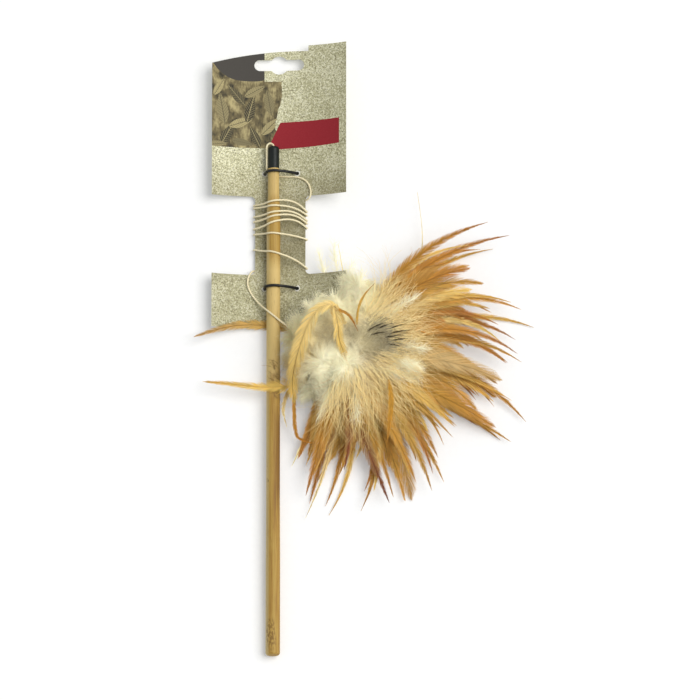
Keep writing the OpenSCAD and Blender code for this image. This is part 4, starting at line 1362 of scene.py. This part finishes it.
# Bunches of further feathers: degrees between two, least and most of the length of
# their neighbours, least and most width, and least and most downy share
BUNCHES = [
    (4.6, 0.74, 1.0, 0.7, 1.1, 0.24, 0.34),
    (4.6, 0.66, 0.94, 0.9, 1.3, 0.24, 0.34),
    (5, 0.56, 0.86, 1.0, 1.5, 0.26, 0.36),
    (5, 0.48, 0.78, 1.2, 1.7, 0.3, 0.4),
    (6, 0.45, 0.69, 1.6, 2.2, 0.34, 0.44),
]
# Looks of the long ones, which are drawn at random, and of the short ones in turn
LONG_LOOKS = ["gold", "buff", "straw", "buff", "straw", "amber", "gold", "russet", "pale"]
SHORT_LOOKS = ["buff", "straw"]
# How many times as far apart their barbs are as those of the named feathers
FILLER_GAP = 1.1
# Seeds of the random draws, the first where there are several
BUNCH_SEED = 11
LOOSE_SEED = 50
FILLER_SEED = 100


class FEATHERWAND_OT_feathers(bpy.types.Operator):
    """Every hackle, saddle and arched feather of the lure"""

    bl_idname = "feather_wand.feathers"
    bl_label = "Feathers"

    def execute(self, context):
        p = context.scene.wand_plumage
        kinds = looks(p)
        gap = p.barb_gap / MM
        golden = plumage_finish("golden_feather", 0.2, 0.42)
        quills = {}
        names = [n for n in sorted(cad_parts) if "feather" in n]
        for seed, name in enumerate(names):
            quill = self.bowed(name, seed)
            quills[name] = quill
            if name in ARCS:
                line, widths = ARCS[name]
                quill = Quill(np.array([polar(*place) for place in line]), np.array(widths))
            style, width = NODE_LOOKS.get(name, ("gold", 1))
            look = kinds[style]._replace(width=kinds[style].width * width)
            thick = STRAND_SHAFT if "strand" in name else SHAFT
            body = "lure_stem" if "wand" in name else "lure"
            mesh, facing = join_meshes(name, feather_meshes(quill, look, gap, seed, name, thick))
            finish_piece(name + "_vane", mesh, golden, body, (name,), facing)
        self.loose(kinds, gap, golden)
        self.fill(kinds, gap, golden, quills)
        return {"FINISHED"}

    def bowed(self, name, seed):
        """A CAD feather's line, bowed sideways where it is one of the fan."""
        quill = node_quill(name)
        if name.startswith("hackle"):
            right = math.exp(-(((heading_of(quill.centre[-1]) - 3) / 14) ** 2))
            bow = HACKLE_BOW + seed % 4 + RIGHT_BOW * right
            quill = quill.between(quill, 0, 1, CROSSING.get(name, bow))
        if name.startswith("saddle"):
            quill = quill.between(quill, 0, 1, SADDLE_BOW)
            blunt = np.sin(math.pi * np.clip(quill.share, 0.02, 0.98)) ** 0.4
            quill.half = quill.half.max() * blunt
        return quill

    def loose(self, kinds, gap, golden):
        """The small feathers that have come loose."""
        for seed, (name, (line, half, style)) in enumerate(LOOSE.items(), LOOSE_SEED):
            places = np.array([polar(*place) for place in line])
            slim = np.sin(math.pi * np.linspace(0.15, 0.97, len(places))) ** 0.6
            look = kinds[style]._replace(downy=0.05, reach=2, base=kinds[style].middle)
            parts = feather_meshes(Quill(places, half * slim), look, gap, seed, name, LOOSE_SHAFT)
            mesh, facing = join_meshes(name, parts)
            finish_piece(name, mesh, golden, "lure", (), facing)

    def fill(self, kinds, gap, golden, quills):
        """Further feathers all round the fan, in bunches that lie between the named ones."""
        rng = np.random.default_rng(BUNCH_SEED)
        fan = {}
        for name, quill in quills.items():
            if name.startswith(("hackle", "saddle")):
                fan[heading_of(quill.centre[-1])] = quill
        found = sorted(fan)
        for bunch, (step, short, long, slim, broad, early, late) in enumerate(BUNCHES):
            made = []
            headings = np.arange(found[0], found[-1], step)
            for i, heading in enumerate(headings + rng.uniform(-0.4, 0.4, len(headings)) * step):
                k = int(np.clip(np.searchsorted(found, heading), 1, len(found) - 1))
                share = (heading - found[k - 1]) / (found[k] - found[k - 1])
                share = float(np.clip(share, 0.08, 0.92))
                bow = rng.uniform(-3, 7)
                quill = fan[found[k - 1]].between(fan[found[k]], share, rng.uniform(short, long), bow)
                if long > 0.7:
                    style = LONG_LOOKS[rng.integers(len(LONG_LOOKS))]
                else:
                    style = SHORT_LOOKS[i % 2]
                width, downy = rng.uniform(slim, broad), rng.uniform(early, late)
                look = kinds[style]._replace(width=width, downy=downy)
                seed = FILLER_SEED + 60 * bunch + i
                made += feather_meshes(quill, look, gap * FILLER_GAP, seed, "filler")
            name = f"filler_feathers_{bunch + 1}"
            mesh, facing = join_meshes(name, made)
            finish_piece(name, mesh, golden, "lure", (), facing)


def flat_across(middle, up):
    """Directions across strands whose flat sides face up."""
    return unit(np.cross(unit(np.gradient(middle, axis=0)), up))


def strand_uv(v, rows):
    """A UV map for strands, each along a narrow row of its own."""
    uv = np.empty((len(v), len(rows), 2, 2))
    uv[..., 0] = (0.02 + 0.96 * v.ravel())[:, None, None]
    uv[..., 1] = rows
    return uv


def flat_strands(name, middle, wide, tint, uv, soft, body):
    """A piece of separate strands that lie flat."""
    across = flat_across(middle, np.array([0.1, 0, 1.0]))
    tint = np.broadcast_to(np.clip(tint, 0, 1), middle.shape)
    mesh = ribbon_mesh(name, middle, across * wide[..., None], tint, uv)
    facing = np.tile([0.12, 0, 0.99], (len(mesh.vertices), 1))
    finish_piece(name, mesh, soft, body, (), facing)


def down_lines(quill, count, reach, pale, root_tone, rng):
    """Fine wavy strands that stand off a short quill all round."""
    steps = 9
    root = rng.uniform(0, 1, count) ** 0.9
    v = np.linspace(0, 1, steps)[:, None]
    # Strands curl together in wisps
    wisp = rng.integers(0, max(count // 12, 1), count)
    shared = rng.uniform(0, 1, (5, wisp.max() + 1))[:, wisp]
    roll = (shared[0] * 2 - 1) * math.pi + rng.normal(0, 0.6, count)
    root = np.clip(mix(root, shared[1], 0.45), 0, 1)
    tilt = np.radians(mix(15, 80, shared[2]) + rng.normal(0, 14, count))
    length = reach * mix(0.45, 1.05, shared[3]) * rng.uniform(0.75, 1.1, count) * (1 - 0.3 * root**2)
    ahead = length * np.cos(tilt) * v
    out = length * np.sin(tilt) * (v - 0.25 * v**2)
    phase, rate = rng.uniform(0, 6.3, (2, count)), rng.uniform(2, 6, (2, count))
    phase = shared[4] * 6.3 + phase * 0.25
    curl = 0.08 * length * v
    off = out * np.cos(roll) + curl * np.sin(rate[0] * v + phase[0])
    lift = out * np.abs(np.sin(roll)) * np.where(np.sin(roll) > 0, 1, 0.35)
    lift = lift + curl * np.sin(rate[1] * v + phase[1])
    along = root + ahead / quill.length
    middle = keep_clear(quill.spot(along, off, lift), lies_over(quill), LIFT_ROOM)
    across = flat_across(middle, rng.normal(0, 0.2, (count, 3)) + [0.2, 0, 1.0])
    from_line = unit(middle - quill.read(quill.centre, np.clip(along, 0, 1)))
    facing = unit(from_line * 0.45 + np.array([0.15, 0, 1.0]))
    wide = 0.08 * (1 - 0.7 * v) * rng.uniform(0.7, 1.3, count)
    deep = (np.exp(-v * 2.5) * np.exp(-root * 1.2))[..., None]
    tint = mix(pale, root_tone, 0.25 * deep) * (1 + 0.03 * rng.normal(0, 1, (count, 1)))
    uv = strand_uv(v, root[:, None] * 0.96 + np.array([0.01, 0.03]))
    lines = (middle, across * wide[..., None], np.clip(tint, 0, 1), uv)
    return lines, np.repeat(facing, 2, axis=1).reshape(-1, 3)


# Strands of each named plume, and their reach in mm
PLUME_STRANDS = 700
PLUME_REACH = 13
# Further tufts of down: the heading, reach and height of the start, the arch and the
# tip, then the strands and their reach in mm
TUFTS = {
    "left_fluff": ((185, 24, 12), (186, 32, 18), (187, 41, 9), 500, 11),
    "low_fluff": ((228, 26, 16), (229, 34, 20), (228, 46, 10), 500, 11),
    "card_fluff": ((140, 22, 20), (138, 30, 26), (135, 40, 19), 500, 10),
    "right_fluff": ((-22, 30, 27), (-22, 38, 32), (-20, 48, 24), 900, 11),
    "wing_wisps_left": ((109, 38, 5), (107, 52, 7), (107, 68, 8), 110, 13),
    "wing_wisps": ((99, 38, 5), (98, 54, 8), (98, 74, 9), 110, 13),
    "wing_wisps_right": ((92, 36, 5), (90, 46, 7), (88, 58, 8), 110, 13),
}
# How far the mass of down reaches at each heading, its middle height and half height
MASS = [
    (0, 39), (40, 34), (75, 42), (88, 41), (97, 33), (130, 33), (180, 34), (220, 36), (260, 34),
    (285, 29), (310, 29), (335, 45), (348, 43),
]
MASS_LOW = 12
MASS_HIGH = 18
# Lumps of the mass and their reach, then the strands in each piece that stands all over
# it or on its sides, and their length
LUMPS = 300
LUMP_REACH = (3, 9)
FUR = 7500
SIDE_FUR = 10000
FUR_LENGTH = (2.5, 7.5)
# Its colours: across and along from the ball, reach, weight, rise in mm and colour
PATCHES = [
    (-5, -21, 13, 12, 9, "down"), (-18, -18, 9, 8, 6, "down"), (-24, -30, 8, 8, 7, "down"),
    (38, -17, 12, 8, 6, "down"), (5, 32, 13, 4, 0, "down"), (-17, 4, 8, 1.6, 0, "shadow"),
    (19, 1, 8, 6, 4, "shadow"), (22, 8, 6, 14, 5, "ash"), (4, 2, 7, 5, 4, "shadow"),
    (31, 2, 7, 14, 5, "ash"), (25, 0, 7, 14, 4, "ash"), (16, -3, 8, 7, 2, "shadow"),
    (18, -22, 10, 7, 0, "golden"), (6, -34, 10, 5, 0, "golden"), (-31, 2, 9, 4, 0, "cream"),
    (-31, -14, 9, 4, 0, "straw"), (-3, -44, 12, 6, 0, "straw"), (17, 29, 11, 2.5, 0, "cream"),
    # The down patch at -30, 22 is painted light, which lifts the shade under the arched feathers
    (40, 20, 14, 5, 0, "golden"), (28, -38, 13, 7, 0, "golden"), (-30, 22, 12, 3, 0, "down"),
    (48, 4, 11, 6, 0, "golden"),
]
# Long loose barbs: least and most heading, how many, and the colour
WISPS = {"straw_wisps": (-112, 66, 450, "straw"), "golden_wisps": (-110, 56, 800, "golden")}
# Where they start from the ball, and their length
WISP_START = (16, 46)
WISP_LENGTH = (12, 34)
# Short barbs on the stick: how many, where they start across and along it, and length
STRAYS = 46
STRAY_ACROSS = (-1.5, 5)
STRAY_ALONG = (165, 190)
STRAY_LENGTH = (2.5, 6)
# Dark stems over the root: heading, from and to in mm, heading of the tip, height
PINS = [
    (26, 14, 26, 24, 38), (20, 16, 30, 20, 38), (12, 13, 25, 10, 38), (4, 20, 34, 4, 36),
    (0, 27, 38, 1, 35), (9, 24, 40, 9, 36), (-6, 22, 33, -7, 35), (16, 26, 37, 15, 36),
]
# Between two of their barbs, and half their width, in mm
PIN_GAP = 0.45
PIN_HALF = 1.2
# Seeds of the random draws, the first where there are several
PLUME_SEED = 501
TUFT_SEED = 600
MASS_SEED = 650
WISP_SEED = 680
STRAY_SEED = 690
PIN_SEED = 700


class FEATHERWAND_OT_down(bpy.types.Operator):
    """White and dark down over the lure's root"""

    bl_idname = "feather_wand.down"
    bl_label = "Down"

    def execute(self, context):
        p = context.scene.wand_plumage
        c = tones(p)
        soft = plumage_finish("cream_down", 0.05, 0.6)
        warm = mix(c["cream"], c["straw"], 0.35)
        plumes = [f"down_plume_{number}" for number in range(1, 10)]
        for seed, name in enumerate(plumes, PLUME_SEED):
            rng, quill = np.random.default_rng(seed), node_quill(name)
            lines, facing = down_lines(quill, PLUME_STRANDS, PLUME_REACH, c["down"], warm, rng)
            mesh = ribbon_mesh(name, *lines)
            finish_piece(name + "_fluff", mesh, soft, "lure", (name,), facing)
        for seed, (name, (start, arch, tip, count, reach)) in enumerate(TUFTS.items(), TUFT_SEED):
            rng = np.random.default_rng(seed)
            quill = arched_quill(start, arch, tip)
            lines, facing = down_lines(quill, count, reach, c["down"], warm, rng)
            finish_piece(name, ribbon_mesh(name, *lines), soft, "lure", (), facing)
        self.mass(c, soft)
        for seed, (name, wisp) in enumerate(WISPS.items(), WISP_SEED):
            self.wisps(name, wisp, c, soft, np.random.default_rng(seed))
        self.stray_barbs(c, soft, np.random.default_rng(STRAY_SEED))
        self.pins(looks(p)["ash"], soft)
        return {"FINISHED"}

    def pins(self, dark, soft):
        """Dark pointed stems over the lure's root."""
        made = []
        for seed, (heading, near, far, turn, height) in enumerate(PINS, PIN_SEED):
            middle = (mix(heading, turn, 0.4), mix(near, far, 0.5), height + 4)
            root, tip = (heading, near, height - 4), (turn, far, height)
            quill = arched_quill(root, middle, tip, PIN_HALF)
            made += feather_meshes(quill, dark, PIN_GAP, seed, "pin", PIN_SHAFT)
        mesh, facing = join_meshes("dark_stems", made)
        finish_piece("dark_stems", mesh, soft, "lure", (), facing)

    def mass(self, c, soft):
        """The soft lumpy mass of down and the strands that stand on it."""
        rng = np.random.default_rng(MASS_SEED)
        bm = bmesh.new()
        bmesh.ops.create_icosphere(bm, subdivisions=7, radius=1)
        mesh = mesh_of(bm, "down_mass")
        count = len(mesh.vertices)
        way = np.empty(3 * count, np.float32)
        mesh.vertices.foreach_get("co", way)
        way = way.reshape(-1, 3).astype(float)
        heading = np.degrees(np.arctan2(way[:, 1], way[:, 0]))
        far = np.interp(heading, *zip(*MASS), period=360)
        size = np.stack([far, far, np.full(count, MASS_HIGH)], axis=1)
        skin = way * size
        lumps = rng.choice(count, LUMPS, replace=False)
        swell, owner = np.zeros(count), np.zeros(count, int)
        for k, (i, reach) in enumerate(zip(lumps, rng.uniform(*LUMP_REACH, LUMPS))):
            rise = 0.6 * reach * np.exp(-((np.linalg.norm(skin - skin[i], axis=1) / reach) ** 2))
            owner = np.where(rise > swell, k, owner)
            swell = np.maximum(swell, rise)
        skin += unit(way / size) * (swell - 2)[:, None]
        for across, along, reach, _, rise, _ in PATCHES:
            apart = np.linalg.norm(skin[:, :2] - [across, along], axis=1) / reach
            skin[:, 2] += rise * np.exp(-(apart**2)) * np.maximum(way[:, 2], 0)
        y = BALL[1] + skin[:, 1]
        points = np.stack([BALL[0] + skin[:, 0], y, floor_z(y) + MASS_LOW + skin[:, 2]], axis=1)
        points = keep_clear(points, room=LIFT_ROOM)
        mesh.vertices.foreach_set("co", to_frame(points).astype(np.float32).ravel())
        mesh.update()
        colour_points(mesh, self.patched(points, c, rng))
        map_corners(mesh, "OFBake", np.stack([(heading + 180) / 360, way[:, 2] / 2.02 + 0.5], axis=1))
        out = np.empty(3 * count, np.float32)
        mesh.vertex_normals.foreach_get("vector", out)
        out = out.reshape(-1, 3).astype(float)
        finish_piece("down_mass", mesh, soft, "lure", (), unit(0.6 * out + [0.1, 0, 0.9]))
        # Each lump's strands lie one way
        turn = rng.uniform(0, 2 * math.pi, LUMPS)
        lay = np.stack([np.cos(turn), np.sin(turn), rng.uniform(-0.1, 0.5, LUMPS)], axis=1)
        lay = unit(lay[owner] + 0.8 * out * [1, 1, 0])
        grown = np.flatnonzero((out[:, 2] > -0.25) & (points[:, 2] > floor_z(y) + 2))
        for bunch in range(4):
            pick = rng.choice(grown, FUR)
            self.fur(f"down_fur_{bunch + 1}", points[pick], out[pick], lay[pick], c, soft, rng)
        sides = np.flatnonzero((np.abs(out[:, 2]) < 0.7) & (points[:, 2] > floor_z(y) + 1))
        pick = rng.choice(sides, SIDE_FUR)
        self.fur("down_fur_sides", points[pick], out[pick], lay[pick], c, soft, rng)

    def patched(self, points, c, rng):
        """The down's colour at each point."""
        c = {**c, "shadow": mix(c["ash"], c["cream"], 0.35)}
        near = points[:, :2] - BALL[:2] + rng.normal(0, 1.2, (len(points), 2))
        total = np.full((len(points), 1), 1.0)
        colour = total * mix(c["down"], c["cream"], 0.6)
        for across, along, reach, weight, _, ink in PATCHES:
            apart = np.linalg.norm(near - [across, along], axis=1) / reach
            share = weight * np.exp(-(apart**2))[:, None]
            colour, total = colour + share * c[ink], total + share
        return colour / total

    def fur(self, name, start, out, lay, c, soft, rng):
        """Fine strands that stand on the mass of down."""
        count, steps = len(start), 9
        v = np.linspace(0, 1, steps)[:, None, None]
        rim = 1 - np.maximum(out[:, 2:], 0)
        length = rng.uniform(*FUR_LENGTH, (count, 1)) * (1 + 0.7 * rim**2)
        grow = unit(out * rng.uniform(0.3, 1.1, (count, 1)) + lay * 0.9 + rng.normal(0, 0.25, (count, 3)))
        bend = unit(lay + rng.normal(0, 0.35, (count, 3)) - [0, 0, 0.25])
        phase, rate = rng.uniform(0, 6.3, (2, count, 3)), rng.uniform(2, 7, (2, count, 3))
        curl = 0.07 * length * v * np.sin(rate[0] * v + phase[0])
        middle = start - 0.4 * out + length * (grow * v + 0.5 * (bend - grow) * v**2) + curl
        middle = keep_clear(middle, room=LIFT_ROOM)
        across = flat_across(middle, rng.normal(0, 0.2, (count, 3)) + [0.2, 0, 1.0])
        wide = 0.095 * (1 - 0.75 * v) * rng.uniform(0.6, 1.4, (count, 1))
        tint = self.patched(start, c, rng) * (1 + 0.08 * rng.normal(0, 1, (count, 1)))
        tint = np.clip(mix(tint, c["down"], 0.25 * v), 0, 1)
        # Strands of a like colour lie beside each other in the map
        row = np.argsort(np.argsort(tint[0].sum(axis=1))) / count * 0.98 + 0.01
        uv = strand_uv(v, row[:, None] + np.array([0, 0.5]) / count)
        mesh = ribbon_mesh(name, middle, across * wide, tint, uv)
        sway = rng.normal(0, 0.3, (count, 3))
        facing = np.broadcast_to(unit(0.25 * out + [0.15, 0, 0.95] + sway), (steps, count, 3))
        facing = np.repeat(facing, 2, axis=1).reshape(-1, 3)
        finish_piece(name, mesh, soft, "lure", (), facing)

    def wisps(self, name, wisp, c, soft, rng):
        """Long loose barbs that run out over the vanes."""
        low, high, count, ink = wisp
        v = np.linspace(0, 1, 10)[:, None]
        heading = np.radians(rng.uniform(low, high, count))
        start, length = rng.uniform(*WISP_START, count), rng.uniform(*WISP_LENGTH, count)
        turn = rng.normal(0, 0.22, count)
        r = start + length * v
        a = heading + turn * v**1.5 + 0.012 * np.sin(7 * v + rng.uniform(0, 6, count))
        x, y = BALL[0] + r * np.cos(a), BALL[1] + r * np.sin(a)
        dome = 34 - 0.0042 * r**2 + rng.uniform(-3, 2.5, count) + 2.5 * np.sin(math.pi * v)
        z = floor_z(y) + np.maximum(dome, 2)
        middle = keep_clear(np.stack([x, y, z], axis=-1))
        wide = 0.085 * (1 - 0.75 * v**1.5) * rng.uniform(0.7, 1.3, count)
        tint = mix(c["cream"], c[ink], 0.8 * v[..., None]) * (1 + 0.05 * rng.normal(0, 1, (count, 1)))
        uv = strand_uv(v, rng.uniform(0.02, 0.96, count)[:, None] + np.array([0, 0.01]))
        flat_strands(name, middle, wide, tint, uv, soft, "lure")

    def stray_barbs(self, c, soft, rng):
        """Short dark barbs that cling to the stick by the lure."""
        v = np.linspace(0, 1, 8)[:, None]
        x = rng.uniform(*STRAY_ACROSS, STRAYS) + 0 * v
        y = rng.uniform(*STRAY_ALONG, STRAYS) + 0 * v
        lean = np.radians(rng.normal(55, 16, STRAYS))
        length = rng.uniform(*STRAY_LENGTH, STRAYS)
        curve = rng.normal(0, 0.5, STRAYS) * v**2
        x = x - length * np.cos(lean + curve) * v
        y = y + length * np.sin(lean + curve) * v
        middle = keep_clear(np.stack([x, y, np.full_like(x, AXIS_Z + SHAFT_R + 0.5)], axis=-1))
        wide = 0.14 * (1 - 0.7 * v) * rng.uniform(0.6, 1.2, STRAYS)
        tint = mix(c["fawn"] * 0.25, c["fawn"] * 0.6, v[..., None])
        rows = np.arange(STRAYS)[:, None] + np.array([0, 0.5])
        uv = strand_uv(v, rows / STRAYS)
        flat_strands("stray_barbs", middle, wide, tint, uv, soft, "wand_and_card")


class FEATHERWAND_PT_panel(bpy.types.Panel):
    """Every piece and every setting, in the sidebar"""

    bl_idname = "FEATHERWAND_PT_panel"
    bl_label = "Feather Wand"
    bl_space_type = "VIEW_3D"
    bl_region_type = "UI"
    bl_category = "Feather Wand"

    def draw(self, context):
        for operator in OPERATORS:
            self.layout.operator(operator.bl_idname)
        for group in SETTINGS:
            settings = getattr(context.scene, group)
            for key in settings.__annotations__:
                self.layout.prop(settings, key)


OPERATORS = [
    FEATHERWAND_OT_studio,
    FEATHERWAND_OT_cord,
    FEATHERWAND_OT_stick,
    FEATHERWAND_OT_card,
    FEATHERWAND_OT_ties,
    FEATHERWAND_OT_binding,
    FEATHERWAND_OT_feathers,
    FEATHERWAND_OT_down,
]
SETTINGS = {
    "wand_studio": StudioSettings,
    "wand_stick": StickSettings,
    "wand_card": CardSettings,
    "wand_cord": CordSettings,
    "wand_plumage": PlumageSettings,
}


def register():
    for kind in [*SETTINGS.values(), *OPERATORS, FEATHERWAND_PT_panel]:
        bpy.utils.register_class(kind)
    for name, kind in SETTINGS.items():
        setattr(bpy.types.Scene, name, PointerProperty(type=kind))


def unregister():
    for name in SETTINGS:
        delattr(bpy.types.Scene, name)
    for kind in [FEATHERWAND_PT_panel, *reversed(OPERATORS), *SETTINGS.values()]:
        bpy.utils.unregister_class(kind)


def main():
    register()
    for operator in OPERATORS:
        group, name = operator.bl_idname.split(".")
        getattr(getattr(bpy.ops, group), name)()


if __name__ == "__main__":
    main()
